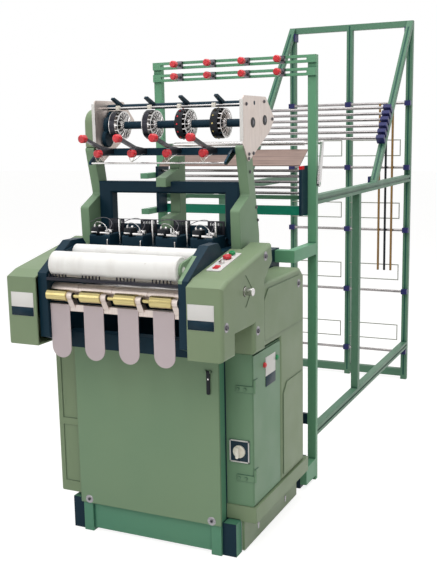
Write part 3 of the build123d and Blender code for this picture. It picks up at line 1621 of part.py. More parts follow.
# Creel wires: a bent wire below each rear bar of each bay, and three hanging rods.
wire_y = creel_front - wire_radius
with BuildPart() as creel_wires:
    for bay_left, bay_right in ((-creel_half, -creel_post / 2), (0, creel_side)):
        for z in rear_heights[1:]:
            far = bay_right - wire_inset
            wire_top = z - wire_top_drop
            wire_low = z - wire_bottom_drop
            near = bay_left + clamp_half
            with BuildLine(front_plane(wire_y)) as bend:
                Polyline((near, wire_top), (far, wire_top), (far, wire_low), (near, wire_low))
            with BuildSketch(side_plane(near)) as section:
                with Locations((wire_y, wire_top)):
                    RegularPolygon(wire_radius, wire_sides)
            sweep(section.sketch, path=bend.line, transition=Transition.RIGHT)
    rod_y = rear_bar_y - bar_radius - drop_rod_radius
    with BuildSketch(floor_plane(drop_rod_low)) as hanging:
        for step in range(3):
            with Locations((drop_rod_x + step * drop_rod_pitch, rod_y)):
                Circle(drop_rod_radius)
    extrude(hanging.sketch, amount=rear_heights[-1] - drop_rod_low)
keep(creel_wires, "creel_wires")
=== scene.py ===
"""Looks of a four-head needle loom and its creel: finishes, small fittings, studio and camera."""
import json
import logging
import math
from dataclasses import dataclass, replace
from enum import Enum

import bmesh
import bpy
from mathutils import Matrix, Vector


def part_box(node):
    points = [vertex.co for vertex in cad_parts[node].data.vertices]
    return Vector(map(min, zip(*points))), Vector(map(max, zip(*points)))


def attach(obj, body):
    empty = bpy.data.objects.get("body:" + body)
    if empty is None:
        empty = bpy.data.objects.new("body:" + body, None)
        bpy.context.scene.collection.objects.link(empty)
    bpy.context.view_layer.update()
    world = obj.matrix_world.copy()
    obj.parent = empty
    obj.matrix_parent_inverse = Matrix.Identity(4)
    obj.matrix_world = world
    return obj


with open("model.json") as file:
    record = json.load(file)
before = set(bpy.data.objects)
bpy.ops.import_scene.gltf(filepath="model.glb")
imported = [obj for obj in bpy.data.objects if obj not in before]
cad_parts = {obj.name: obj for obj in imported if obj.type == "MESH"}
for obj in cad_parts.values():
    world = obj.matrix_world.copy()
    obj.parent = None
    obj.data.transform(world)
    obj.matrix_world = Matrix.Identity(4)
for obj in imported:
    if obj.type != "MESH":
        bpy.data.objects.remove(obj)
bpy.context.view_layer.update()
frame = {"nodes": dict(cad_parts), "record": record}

LOG = logging.getLogger("loom")
MM = 0.001
FRAME_BODY = "frame"
HEAD_MIDDLES = (-217.5, -72.5, 72.5, 217.5)
ARM_MIDDLES = (-222.0, -74.0, 74.0, 222.0)
DATUM = 1215.5
SMOOTH_ANGLE = math.radians(35.0)
SIDES = 32
LENS_SIDES = 24
SMALL_SIDES = 20
PIN_SIDES = 16
HEXAGON = 6
WIRE_SIDES = 8
WIRE_STEPS = 6
CREASE_SAMPLES = 4
CREASE_WINDOW = (0.35, 0.95)
EDGE_SAMPLES = 3
FULL = (0.0, 1.0)

Colour = tuple[float, float, float, float]
Point = tuple[float, float, float]
Span = tuple[float, float]
Box = tuple[Point, Point]
Tone = bpy.types.NodeSocket | Colour
Number = bpy.types.NodeSocket | float


def paint_colour(red: int, green: int, blue: int) -> Colour:
    """Turns a display colour into the linear colour that shaders use.

    Args:
        red: Red, 0 to 255.
        green: Green, 0 to 255.
        blue: Blue, 0 to 255.

    Returns:
        The linear colour with full alpha.
    """
    shares = (value / 255.0 for value in (red, green, blue))
    linear = [s / 12.92 if s <= 0.04045 else ((s + 0.055) / 1.055) ** 2.4 for s in shares]
    return linear[0], linear[1], linear[2], 1.0


def at(across: float, depth: float, up: float) -> Vector:
    """Turns millimetres from the loom's front panel into a place in the part's space.

    Args:
        across: Millimetres to the right of the middle.
        depth: Millimetres behind the front panel.
        up: Millimetres above the floor.

    Returns:
        The place in metres.
    """
    return Vector((across, depth - DATUM, up)) * MM


class Axis(Enum):
    """The directions of the loom: across, from front to back, and up."""

    ACROSS = Vector((1.0, 0.0, 0.0))
    DEPTH = Vector((0.0, 1.0, 0.0))
    UP = Vector((0.0, 0.0, 1.0))

    def drawn_out(self, length: float) -> Point:
        """Gives pattern scales that draw a grain out along this direction."""
        return tuple(1.0 if part < 0.5 else 1.0 / length for part in self.value)


class NodeSheet:
    """A node tree with one short call that adds a node, sets its values and links it."""

    def __init__(self, tree: bpy.types.NodeTree) -> None:
        """Keeps the tree that the nodes go into."""
        self.tree = tree

    def add(self, kind: str, inputs: dict, **settings: object) -> bpy.types.Node:
        """Adds a node.

        Args:
            kind: The node's type.
            inputs: Values or sockets for its inputs, by name or number.
            settings: Properties of the node.

        Returns:
            The new node.
        """
        made = self.tree.nodes.new(kind)
        for key, value in settings.items():
            setattr(made, key, value)
        for key, value in inputs.items():
            if isinstance(value, bpy.types.NodeSocket):
                self.tree.links.new(value, made.inputs[key])
            else:
                made.inputs[key].default_value = value
        return made


@dataclass(frozen=True)
class Cloud:
    """A cloudy pattern: clouds in a metre, finer layers, and scales along the three axes."""

    scale: float
    detail: float = 2.0
    stretch: Point = (1.0, 1.0, 1.0)


class Graph(NodeSheet):
    """A material's node graph, with short calls for the patterns that the finishes share."""

    def __init__(self, name: str) -> None:
        """Starts a material.

        Args:
            name: The material's name.
        """
        self.material = bpy.data.materials.new(name)
        self.material.use_nodes = True
        super().__init__(self.material.node_tree)
        self.shader = next(node for node in self.tree.nodes if node.type == "BSDF_PRINCIPLED")
        self.place = self.add("ShaderNodeTexCoord", {}).outputs["Object"]

    def noise(self, cloud: Cloud) -> bpy.types.NodeSocket:
        """Makes a cloudy pattern.

        Args:
            cloud: Its scale, detail and stretch.

        Returns:
            The pattern's value.
        """
        mapping = self.add("ShaderNodeMapping", {"Vector": self.place, "Scale": cloud.stretch})
        made = self.add("ShaderNodeTexNoise", {
            "Vector": mapping.outputs[0], "Scale": cloud.scale, "Detail": cloud.detail})
        return made.outputs[0]

    def spread(self, source: bpy.types.NodeSocket, before: Span, after: Span) -> bpy.types.NodeSocket:
        """Maps a value from one range to another.

        Args:
            source: The value.
            before: Its range.
            after: The new range.

        Returns:
            The mapped value.
        """
        mapped = self.add("ShaderNodeMapRange", {
            "Value": source, "From Min": before[0], "From Max": before[1],
            "To Min": after[0], "To Max": after[1]})
        return mapped.outputs["Result"]

    def blend(self, share: bpy.types.NodeSocket, first: Tone, second: Tone) -> bpy.types.NodeSocket:
        """Mixes two colours.

        Args:
            share: How much of the second colour shows.
            first: A colour or its socket.
            second: A colour or its socket.

        Returns:
            The mixed colour.
        """
        mixed = self.add("ShaderNodeMix", {0: share, 6: first, 7: second}, data_type="RGBA")
        return mixed.outputs[2]

    def maths(self, operation: str, first: Number, second: Number) -> bpy.types.NodeSocket:
        """Works out one sum of two values."""
        return self.add("ShaderNodeMath", {0: first, 1: second}, operation=operation).outputs[0]

    def inside(self, low: Vector, high: Vector) -> bpy.types.NodeSocket:
        """Marks the points inside a box of the loom's own space.

        Args:
            low: The lowest corner.
            high: The highest corner.

        Returns:
            One inside, zero outside.
        """
        parts = self.add("ShaderNodeSeparateXYZ", {0: self.place}).outputs
        mask = None
        for index, part in enumerate(parts):
            over = self.maths("GREATER_THAN", part, low[index])
            under = self.maths("LESS_THAN", part, high[index])
            both = self.maths("MULTIPLY", over, under)
            mask = both if mask is None else self.maths("MULTIPLY", mask, both)
        return mask

    def crease_shade_mask(self, reach: float) -> bpy.types.NodeSocket:
        """Marks grooves and inner corners of the piece itself by occlusion, one where they are deep, for
        painted shade.
        """
        shade = self.add("ShaderNodeAmbientOcclusion", {"Distance": reach}, samples=CREASE_SAMPLES,
                         only_local=True)
        return self.spread(shade.outputs["AO"], CREASE_WINDOW, FULL[::-1])

    def bump(self, height: bpy.types.NodeSocket, strength: float, edge: float) -> None:
        """Gives the surface fine relief and softly rounded edges.

        Args:
            height: The relief's height.
            strength: How strong it is.
            edge: The radius that sharp edges seem to have.
        """
        relief = {"Height": height, "Strength": strength, "Distance": MM}
        if edge:
            rounded = self.add("ShaderNodeBevel", {"Radius": edge}, samples=EDGE_SAMPLES)
            relief["Normal"] = rounded.outputs[0]
        self.feed(self.add("ShaderNodeBump", relief).outputs[0], "Normal")

    def feed(self, source: bpy.types.NodeSocket, name: str) -> None:
        """Links a value to the shader."""
        self.tree.links.new(source, self.shader.inputs[name])

    def fix(self, name: str, value: float | Colour) -> None:
        """Sets a value of the shader that is the same all over."""
        self.shader.inputs[name].default_value = value


@dataclass(frozen=True)
class Zone:
    """A box of the loom's space in which a piece has another colour."""

    low: Vector
    high: Vector
    colour: Colour

    def lay(self, graph: Graph, tone: bpy.types.NodeSocket) -> bpy.types.NodeSocket:
        """Lays this zone's colour over the tone so far."""
        return graph.blend(graph.inside(self.low, self.high), tone, self.colour)


@dataclass(frozen=True)
class Enamel:
    """Sprayed enamel on sheet metal, tube or castings, with painted shade darkening its grooves and inner
    corners.
    """

    name: str
    colour: Colour
    second: Colour
    # The colour of the painted shade in grooves and inner corners.
    crease_shade: Colour
    roughness: float = 0.42
    peel: float = 0.10
    edge: float = 2.5 * MM
    reach: float = 14.0 * MM
    shine: float = 0.26
    zones: tuple[Zone, ...] = ()
    drift: Cloud = Cloud(1.7)
    drift_window: Span = (0.35, 0.65)
    rub: Cloud = Cloud(38.0, 6.0)
    rub_window: Span = (0.60, 0.78)
    rub_share: float = 0.16
    film: Cloud = Cloud(9.0, 4.0)
    film_window: Span = (0.3, 0.7)
    film_spread: Span = (-0.05, 0.07)
    skin: Cloud = Cloud(420.0)

    def build(self) -> bpy.types.Material:
        """Makes the material.

        Returns:
            The material.
        """
        graph = Graph(self.name)
        drift = graph.spread(graph.noise(self.drift), self.drift_window, FULL)
        tone = graph.blend(drift, self.colour, self.second)
        for zone in self.zones:
            tone = zone.lay(graph, tone)
        rubbed = graph.spread(graph.noise(self.rub), self.rub_window, (0.0, self.rub_share))
        tone = graph.blend(rubbed, tone, self.second)
        # Painted shade: an occlusion mask darkens grooves and inner corners toward the crease shade colour.
        tone = graph.blend(graph.crease_shade_mask(self.reach), tone, self.crease_shade)
        graph.feed(tone, "Base Color")
        least, most = (self.roughness + part for part in self.film_spread)
        graph.feed(graph.spread(graph.noise(self.film), self.film_window, (least, most)), "Roughness")
        graph.bump(graph.noise(self.skin), self.peel, self.edge)
        graph.fix("Specular IOR Level", self.shine)
        return graph.material


@dataclass(frozen=True)
class Steel:
    """Bare or plated metal with a grain drawn along one direction."""

    name: str
    colour: Colour
    second: Colour
    roughness: float = 0.22
    grain: Axis = Axis.ACROSS
    lines: float = 600.0
    length: float = 60.0
    relief: float = 0.06
    edge: float = 0.0
    zones: tuple[Zone, ...] = ()
    line_detail: float = 3.0
    line_window: Span = (0.3, 0.7)
    haze: Cloud = Cloud(14.0, 4.0)
    haze_window: Span = (0.55, 0.8)
    haze_share: float = 0.5
    rough_window: Span = (0.3, 0.75)
    rough_shares: Span = (0.8, 1.4)

    def build(self) -> bpy.types.Material:
        """Makes the material.

        Returns:
            The material.
        """
        graph = Graph(self.name)
        grain = Cloud(self.lines, self.line_detail, self.grain.drawn_out(self.length))
        lines = graph.noise(grain)
        haze = graph.noise(self.haze)
        tone = graph.blend(graph.spread(lines, self.line_window, FULL), self.colour, self.second)
        for zone in self.zones:
            tone = zone.lay(graph, tone)
        dulled = graph.spread(haze, self.haze_window, (0.0, self.haze_share))
        graph.feed(graph.blend(dulled, tone, self.second), "Base Color")
        least, most = (self.roughness * share for share in self.rough_shares)
        graph.feed(graph.spread(haze, self.rough_window, (least, most)), "Roughness")
        graph.bump(lines, self.relief, self.edge)
        graph.fix("Metallic", 1.0)
        return graph.material


@dataclass(frozen=True)
class Moulding:
    """Moulded plastic or rubber with a fine skin."""

    name: str
    colour: Colour
    second: Colour
    roughness: float = 0.34
    skin: Cloud = Cloud(700.0)
    relief: float = 0.05
    coat: float = 0.0
    shine: float = 0.5
    cloud: Cloud = Cloud(60.0, 4.0)
    cloud_window: Span = (0.35, 0.7)
    rough_more: float = 0.1
    reach: float = 3.0 * MM
    edge: float = 0.8 * MM

    def build(self) -> bpy.types.Material:
        """Makes the material.

        Returns:
            The material.
        """
        graph = Graph(self.name)
        cloud = graph.spread(graph.noise(self.cloud), self.cloud_window, FULL)
        tone = graph.blend(cloud, self.colour, self.second)
        # Painted shade where the second colour is darker: an occlusion mask tints creases and inner corners
        # toward it.
        graph.feed(graph.blend(graph.crease_shade_mask(self.reach), tone, self.second), "Base Color")
        rough = (self.roughness, self.roughness + self.rough_more)
        graph.feed(graph.spread(cloud, FULL, rough), "Roughness")
        graph.bump(graph.noise(self.skin), self.relief, self.edge)
        graph.fix("Coat Weight", self.coat)
        graph.fix("Specular IOR Level", self.shine)
        return graph.material


@dataclass(frozen=True)
class RollerSleeve:
    """A pale pebbled roller sleeve that is a little soiled where the tapes run."""

    name: str
    colour: Colour
    soil: Colour
    roughness: float = 0.5
    pebble: Cloud = Cloud(900.0)
    relief: float = 0.2
    shade_bands: Cloud = Cloud(16.0, 5.0, (1.0, 0.25, 0.25))
    band_window: Span = (0.48, 0.75)
    band_share: float = 0.35
    specks: Cloud = Cloud(75.0, 6.0)
    speck_window: Span = (0.66, 0.75)
    speck_share: float = 0.5
    rough_window: Span = (0.3, 0.7)
    rough_more: float = 0.15

    def build(self) -> bpy.types.Material:
        """Makes the material.

        Returns:
            The material.
        """
        graph = Graph(self.name)
        specks = graph.noise(self.specks)
        worn = graph.spread(graph.noise(self.shade_bands), self.band_window, (0.0, self.band_share))
        tone = graph.blend(worn, self.colour, self.soil)
        spotted = graph.spread(specks, self.speck_window, (0.0, self.speck_share))
        graph.feed(graph.blend(spotted, tone, self.soil), "Base Color")
        rough = (self.roughness, self.roughness + self.rough_more)
        graph.feed(graph.spread(specks, self.rough_window, rough), "Roughness")
        graph.bump(graph.noise(self.pebble), self.relief, 0.0)
        return graph.material


WHITE = paint_colour(236, 234, 230)
NAVY = paint_colour(16, 43, 57)
NAVY_LIGHT = paint_colour(25, 50, 64)
NAVY_DEEP = paint_colour(6, 15, 23)
SAGE_LIGHT = paint_colour(134, 160, 130)
BROWN = paint_colour(146, 112, 66)
TEAL = paint_colour(24, 144, 113)
WIRE_GREY = paint_colour(146, 150, 138)

# The fourth colour of each enamel is painted shade for its grooves and inner corners.
SAGE = Enamel("sage enamel", paint_colour(117, 145, 115), paint_colour(124, 149, 118),
              paint_colour(60, 84, 70))
WARM_SAGE = replace(SAGE, name="warm sage enamel", colour=paint_colour(122, 141, 110),
                    second=paint_colour(130, 147, 116), crease_shade=paint_colour(82, 102, 82))
GREEN = Enamel("teal green enamel", paint_colour(98, 156, 121), paint_colour(106, 158, 123),
               paint_colour(28, 82, 70), reach=10.0 * MM)
BOX_GREEN = Enamel("cabinet enamel", paint_colour(106, 142, 112), paint_colour(114, 146, 116),
                   paint_colour(40, 84, 70))
PLINTH_GREEN = replace(GREEN, name="plinth enamel", colour=paint_colour(86, 140, 114),
                       second=paint_colour(94, 145, 117))
CREEL_GREEN = replace(GREEN, name="creel enamel", colour=paint_colour(84, 124, 101),
                      second=paint_colour(94, 131, 106), crease_shade=paint_colour(14, 60, 50), reach=16.0 * MM)
# Painted shade: a near-black green for the shaded insides of the creel's slots.
SLOT_SHADE = replace(GREEN, name="slot shade enamel", colour=paint_colour(20, 74, 62),
                     second=paint_colour(28, 84, 70), edge=0.0)
PALE = Enamel("pale enamel", paint_colour(226, 224, 220), paint_colour(214, 212, 210),
              paint_colour(140, 138, 140), roughness=0.35)
CASTING = Enamel("navy casting", NAVY, NAVY_LIGHT, NAVY_DEEP, roughness=0.4, peel=0.35, shine=0.12)
CLAMP = Enamel("violet blue clamp", paint_colour(38, 42, 92), paint_colour(48, 50, 100),
               paint_colour(16, 18, 44), roughness=0.36, peel=0.2, shine=0.2)
MOTOR = Enamel("grey motor enamel", paint_colour(92, 100, 108), paint_colour(104, 110, 116),
               paint_colour(50, 54, 60))
PLATE = Steel("brushed plate", paint_colour(214, 202, 194), paint_colour(196, 184, 178),
              roughness=0.42, grain=Axis.UP, lines=420.0, length=30.0)
BRIGHT = Steel("bright steel", paint_colour(226, 224, 222), paint_colour(186, 182, 182), roughness=0.2)
ROD = Steel("chrome rod", paint_colour(178, 173, 172), paint_colour(116, 112, 114), roughness=0.2)
ZINC = Steel("zinc plate", paint_colour(172, 170, 172), paint_colour(122, 120, 126), roughness=0.3)
SHAFT = Steel("dark steel", paint_colour(120, 118, 122), paint_colour(84, 82, 88), roughness=0.32)
DARK = Steel("blackened steel", paint_colour(66, 66, 72), paint_colour(44, 44, 50), roughness=0.34)
BRASS = Steel("brass roll", paint_colour(208, 194, 140), paint_colour(164, 148, 96), roughness=0.17)
CHUTE = Enamel("chute enamel", paint_colour(188, 175, 178), paint_colour(194, 181, 184),
               paint_colour(120, 104, 110), roughness=0.46, edge=1.0 * MM)
WARP_SHEET = Steel("bronze grey sheet", paint_colour(154, 134, 125), paint_colour(122, 104, 98),
                   roughness=0.36, lines=300.0, length=90.0)
RED = Moulding("red moulding", paint_colour(226, 28, 42), paint_colour(176, 14, 30), coat=0.2)
GREEN_CAP = Moulding("green moulding", paint_colour(24, 146, 84), paint_colour(14, 110, 62), coat=0.2)
BLACK = Moulding("black moulding", paint_colour(20, 24, 30), paint_colour(32, 36, 42), shine=0.2)
IVORY = Moulding("ivory moulding", paint_colour(238, 234, 222), paint_colour(222, 216, 200))
RUBBER = Moulding("belt rubber", paint_colour(30, 30, 32), paint_colour(46, 45, 46), roughness=0.6)
SLEEVE = RollerSleeve("roller sleeve", paint_colour(240, 239, 236), paint_colour(190, 182, 174))

Finish = Enamel | Steel | Moulding | RollerSleeve

SLOT_FINISHES: dict[str, Finish] = {
    "sage_paint": SAGE, "frame_paint": GREEN, "pale_paint": PALE, "navy_casting": CASTING,
    "clamp_blue": CLAMP, "plate_steel": PLATE, "bright_steel": BRIGHT, "shaft_steel": SHAFT,
    "roller_white": SLEEVE, "brass_roll": BRASS, "chute_steel": CHUTE, "warp_sheet": WARP_SHEET,
    "red_plastic": RED, "green_plastic": GREEN_CAP, "black_plastic": BLACK, "white_plastic": IVORY,
    "belt_rubber": RUBBER, "motor_paint": MOTOR,
}


class Wardrobe:
    """Holds the built materials and dresses the loom's solids with them."""

    def __init__(self) -> None:
        """Starts with nothing built."""
        self.built: dict[str, bpy.types.Material] = {}

    def material(self, finish: Finish) -> bpy.types.Material:
        """Gives a finish's material, built once.

        Args:
            finish: The finish.

        Returns:
            Its material.
        """
        if finish.name not in self.built:
            self.built[finish.name] = finish.build()
        return self.built[finish.name]

    def dress(self, node: str, finish: Finish) -> None:
        """Puts a finish on one of the loom's solids.

        Args:
            node: The solid's name.
            finish: The finish that it gets.
        """
        solid = frame["nodes"][node]
        material = self.material(finish)
        if not solid.material_slots:
            solid.data.materials.append(material)
        for slot in solid.material_slots:
            slot.material = material

    def dress_all(self, special: dict[str, Finish]) -> None:
        """Dresses every solid by its record slot, or by the finishes given for single solids.

        Args:
            special: Finishes for solids with a colour of their own.
        """
        for row in frame["record"]["subparts"]:
            node = row["node"]
            self.dress(node, special.get(node, SLOT_FINISHES[row["material_slot"]]))
            LOG.info("dressed %s", node)


WARDROBE = Wardrobe()


class Shape:
    """Collects closed forms in one mesh and turns them into a piece of the loom."""

    def __init__(self, name: str) -> None:
        """Starts an empty piece.

        Args:
            name: The piece's name.
        """
        self.name = name
        self.mesh = bmesh.new()

    def block(self, low: Vector, high: Vector, edge: float = 0.0) -> None:
        """Adds a block between two corners.

        Args:
            low: The lowest corner.
            high: The highest corner.
            edge: The width of its bevelled edges.
        """
        size = Vector(high) - Vector(low)
        middle = (Vector(high) + Vector(low)) / 2.0
        place = Matrix.Translation(middle) @ Matrix.Diagonal((*size, 1.0))
        made = bmesh.ops.create_cube(self.mesh, size=1.0, matrix=place)
        if edge:
            edges = {line for corner in made["verts"] for line in corner.link_edges}
            bmesh.ops.bevel(self.mesh, geom=list(edges), offset=edge, segments=2, profile=0.5,
                            affect="EDGES", clamp_overlap=True)

    def beam(self, start: Vector, end: Vector, across: Vector, width: float, thick: float) -> None:
        """Adds a flat bar from one point to another.

        Args:
            start: The middle of its first end.
            end: The middle of its last end.
            across: The direction of its width, square to its length.
            width: Its width.
            thick: Its thickness.
        """
        along = end - start
        normal = along.normalized().cross(across)
        turn = Matrix((along, across * width, normal * thick)).transposed().to_4x4()
        bmesh.ops.create_cube(self.mesh, size=1.0, matrix=Matrix.Translation((start + end) / 2.0) @ turn)

    def turned(self, centre: Vector, axis: Vector, profile: list[Span], around: int = SIDES,
               open_bore: bool = False) -> None:
        """Adds a form turned about an axis.

        Args:
            centre: The point where the axis starts.
            axis: The axis' direction.
            profile: Radius and height pairs, from the first end to the last.
            around: How many sides it has.
            open_bore: Whether the profile closes on itself, as a ring's does.
        """
        turn = Vector((0.0, 0.0, 1.0)).rotation_difference(axis).to_matrix().to_4x4()
        place = Matrix.Translation(centre) @ turn
        rings = []
        for radius, height in profile:
            angles = [math.tau * step / around for step in range(around)]
            points = [place @ Vector((radius * math.cos(a), radius * math.sin(a), height)) for a in angles]
            rings.append([self.mesh.verts.new(point) for point in points])
        following = rings[1:] + rings[:1] if open_bore else rings[1:]
        for lower, upper in zip(rings, following):
            for step in range(around):
                after = (step + 1) % around
                self.mesh.faces.new((lower[step], lower[after], upper[after], upper[step]))
        if not open_bore:
            self.mesh.faces.new(list(reversed(rings[0])))
            self.mesh.faces.new(rings[-1])

    def disc(self, centre: Vector, axis: Vector, radius: float, height: float, edge: float,
             around: int = SIDES) -> None:
        """Adds a disc or pin with a bevelled rim.

        Args:
            centre: The middle of its foot.
            axis: The direction in which it stands.
            radius: Its radius.
            height: Its height.
            edge: The bevel's width.
            around: How many sides it has.
        """
        self.turned(centre, axis, [(radius, 0.0), (radius, height - edge), (radius - edge, height)], around)

    def ring(self, centre: Vector, axis: Vector, radii: Span, height: float, edge: float,
             around: int = SIDES) -> None:
        """Adds a ring with a bevelled outer rim.

        Args:
            centre: The middle of its foot.
            axis: The direction in which it stands.
            radii: Its inner and outer radius.
            height: Its height.
            edge: The bevel's width.
            around: How many sides it has.
        """
        inner, outer = radii
        self.turned(centre, axis, [
            (inner, 0.0), (outer, 0.0), (outer, height - edge), (outer - edge, height), (inner, height)],
            around, open_bore=True)

    def finish(self, finish: Finish, body: str, slot: str) -> bpy.types.Object:
        """Turns the collected forms into a piece that rides on a body.

        Args:
            finish: The piece's finish.
            body: The body that carries it.
            slot: The record slot that it belongs to; not used.

        Returns:
            The finished piece.
        """
        bmesh.ops.recalc_face_normals(self.mesh, faces=self.mesh.faces)
        data = bpy.data.meshes.new(self.name)
        self.mesh.to_mesh(data)
        self.mesh.free()
        return seat(self.name, data, WARDROBE.material(finish), body)


def seat(name: str, data: bpy.types.Mesh, material: bpy.types.Material, body: str) -> bpy.types.Object:
    """Makes an object of a finished mesh and seats it on a body.

    Args:
        name: The piece's name.
        data: Its mesh, in the loom's space.
        material: Its material.
        body: The body that carries it.

    Returns:
        The piece.
    """
    data.polygons.foreach_set("use_smooth", [True] * len(data.polygons))
    data.set_sharp_from_angle(angle=SMOOTH_ANGLE)
    data.materials.clear()
    data.materials.append(material)
    piece = bpy.data.objects.new(name, data)
    bpy.context.scene.collection.objects.link(piece)
    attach(piece, body)
    LOG.info("made %s on %s", name, body)
    return piece


class Pattern(NodeSheet):
    """A Geometry Nodes tree with named sizes, which is turned into a plain mesh."""

    def __init__(self, name: str) -> None:
        """Starts a tree.

        Args:
            name: The tree's name.
        """
        super().__init__(bpy.data.node_groups.new(name, "GeometryNodeTree"))
        self.keys: dict[str, str] = {}
        self.tree.interface.new_socket("Geometry", in_out="INPUT", socket_type="NodeSocketGeometry")
        self.tree.interface.new_socket("Geometry", in_out="OUTPUT", socket_type="NodeSocketGeometry")
        self.source = self.tree.nodes.new("NodeGroupInput")
        self.sink = self.tree.nodes.new("NodeGroupOutput")

    def size(self, label: str, kind: str = "NodeSocketFloat") -> bpy.types.NodeSocket:
        """Adds a named input and gives its socket inside the tree."""
        self.keys[label] = self.tree.interface.new_socket(label, in_out="INPUT", socket_type=kind).identifier
        return self.source.outputs[label]

    def close(self, geometry: bpy.types.NodeSocket) -> None:
        """Ends the tree with realized instances and the material.

        Args:
            geometry: What the tree has made.
        """
        coat = self.size("Finish", "NodeSocketMaterial")
        solid = self.add("GeometryNodeRealizeInstances", {"Geometry": geometry})
        dressed = self.add("GeometryNodeSetMaterial", {"Geometry": solid.outputs[0], "Material": coat})
        self.tree.links.new(dressed.outputs[0], self.sink.inputs[0])

    def make(self, name: str, start: bpy.types.Mesh, sizes: dict[str, float], finish: Finish,
             body: str, slot: str) -> bpy.types.Object:
        """Runs the tree on a starting mesh and seats the result.

        Args:
            name: The piece's name.
            start: The points or lines that the tree works on.
            sizes: Values for the named inputs.
            finish: The piece's finish.
            body: The body that carries it.
            slot: The record slot that it belongs to; not used.

        Returns:
            The piece.
        """
        material = WARDROBE.material(finish)
        carrier = bpy.data.objects.new(f"{name}_start", start)
        bpy.context.scene.collection.objects.link(carrier)
        modifier = carrier.modifiers.new(self.tree.name, "NODES")
        modifier.node_group = self.tree
        for label, value in {**sizes, "Finish": material}.items():
            modifier[self.keys[label]] = value
        view = bpy.context.evaluated_depsgraph_get()
        data = bpy.data.meshes.new_from_object(carrier.evaluated_get(view), depsgraph=view)
        carrier.modifiers.clear()
        bpy.data.objects.remove(carrier)
        data.name = name
        return seat(name, data, material, body)


def fastener_pattern() -> Pattern:
    """Builds the tree that sets a hexagon head on a washer at each point.

    Returns:
        The tree, with its sizes as named inputs.
    """
    pattern = Pattern("fasteners")
    radius = pattern.size("Head radius")
    height = pattern.size("Head height")
    washer = pattern.size("Washer radius")
    sheet = pattern.size("Washer height")
    head = pattern.add("GeometryNodeMeshCylinder", {
        "Vertices": HEXAGON, "Radius": radius, "Depth": height})
    ring = pattern.add("GeometryNodeMeshCylinder", {
        "Vertices": SMALL_SIDES, "Radius": washer, "Depth": sheet})
    half = pattern.add("ShaderNodeMath", {0: height, 1: 0.5}, operation="MULTIPLY")
    lift = pattern.add("ShaderNodeMath", {0: half.outputs[0], 1: sheet}, operation="ADD")
    rest = pattern.add("ShaderNodeMath", {0: sheet, 1: 0.5}, operation="MULTIPLY")
    parts = []
    for form, rise in ((head, lift), (ring, rest)):
        move = pattern.add("ShaderNodeCombineXYZ", {"Z": rise.outputs[0]})
        moved = pattern.add("GeometryNodeTransform",
                            {"Geometry": form.outputs["Mesh"], "Translation": move.outputs[0]})
        parts.append(moved.outputs[0])
    joined = pattern.add("GeometryNodeJoinGeometry", {})
    for part in parts:
        pattern.tree.links.new(part, joined.inputs[0])
    facing = pattern.add("GeometryNodeInputNamedAttribute", {"Name": "facing"}, data_type="FLOAT_VECTOR")
    turn = pattern.add("FunctionNodeAlignRotationToVector", {"Vector": facing.outputs[0]}, axis="Z")
    placed = pattern.add("GeometryNodeInstanceOnPoints", {
        "Points": pattern.source.outputs[0], "Instance": joined.outputs[0], "Rotation": turn.outputs[0]})
    pattern.close(placed.outputs[0])
    return pattern


def wire_pattern() -> Pattern:
    """Builds the tree that draws a smooth round wire along each line.

    Returns:
        The tree, with the wire's radius as a named input.
    """
    pattern = Pattern("wires")
    radius = pattern.size("Wire radius")
    line = pattern.add("GeometryNodeMeshToCurve", {"Mesh": pattern.source.outputs[0]})
    smooth = pattern.add("GeometryNodeCurveSplineType", {"Curve": line.outputs[0]}, spline_type="CATMULL_ROM")
    fine = pattern.add("GeometryNodeSetSplineResolution", {
        "Geometry": smooth.outputs[0], "Resolution": WIRE_STEPS})
    ring = pattern.add("GeometryNodeCurvePrimitiveCircle", {
        "Resolution": WIRE_SIDES, "Radius": radius})
    drawn = pattern.add("GeometryNodeCurveToMesh", {
        "Curve": fine.outputs[0], "Profile Curve": ring.outputs["Curve"], "Fill Caps": True})
    pattern.close(drawn.outputs[0])
    return pattern


FASTENERS = fastener_pattern()
WIRES = wire_pattern()


def point_mesh(name: str, points: list[Vector], facing: list[Vector]) -> bpy.types.Mesh:
    """Makes a mesh of loose points that each face a direction.

    Args:
        name: The mesh's name.
        points: The points.
        facing: The direction at each point.

    Returns:
        The mesh.
    """
    data = bpy.data.meshes.new(name)
    data.from_pydata([tuple(point) for point in points], [], [])
    layer = data.attributes.new("facing", "FLOAT_VECTOR", "POINT")
    layer.data.foreach_set("vector", [part for way in facing for part in way])
    return data


def line_mesh(name: str, lines: list[list[Vector]]) -> bpy.types.Mesh:
    """Makes a mesh of open lines.

    Args:
        name: The mesh's name.
        lines: The points of each line.

    Returns:
        The mesh.
    """
    data = bpy.data.meshes.new(name)
    points, edges = [], []
    for line in lines:
        first = len(points)
        points += [tuple(point) for point in line]
        edges += [(first + step, first + step + 1) for step in range(len(line) - 1)]
    data.from_pydata(points, edges, [])
    return data


def bolt_sizes(head: float, height: float, washer: float, sheet: float) -> dict[str, float]:
    """Names the sizes of a bolt's head and washer for the fasteners' tree."""
    return {"Head radius": head, "Head height": height, "Washer radius": washer, "Washer height": sheet}


def draw_wires(name: str, lines: list[list[Vector]], radius: float, finish: Finish, body: str,
               slot: str) -> None:
    """Draws a round wire along each line, as one piece.

    Args:
        name: The piece's name.
        lines: The points of each wire.
        radius: The wires' radius.
        finish: The piece's finish.
        body: The body that carries it.
        slot: The record slot that it belongs to.
    """
    WIRES.make(name, line_mesh(name, lines), {"Wire radius": radius}, finish, body, slot)


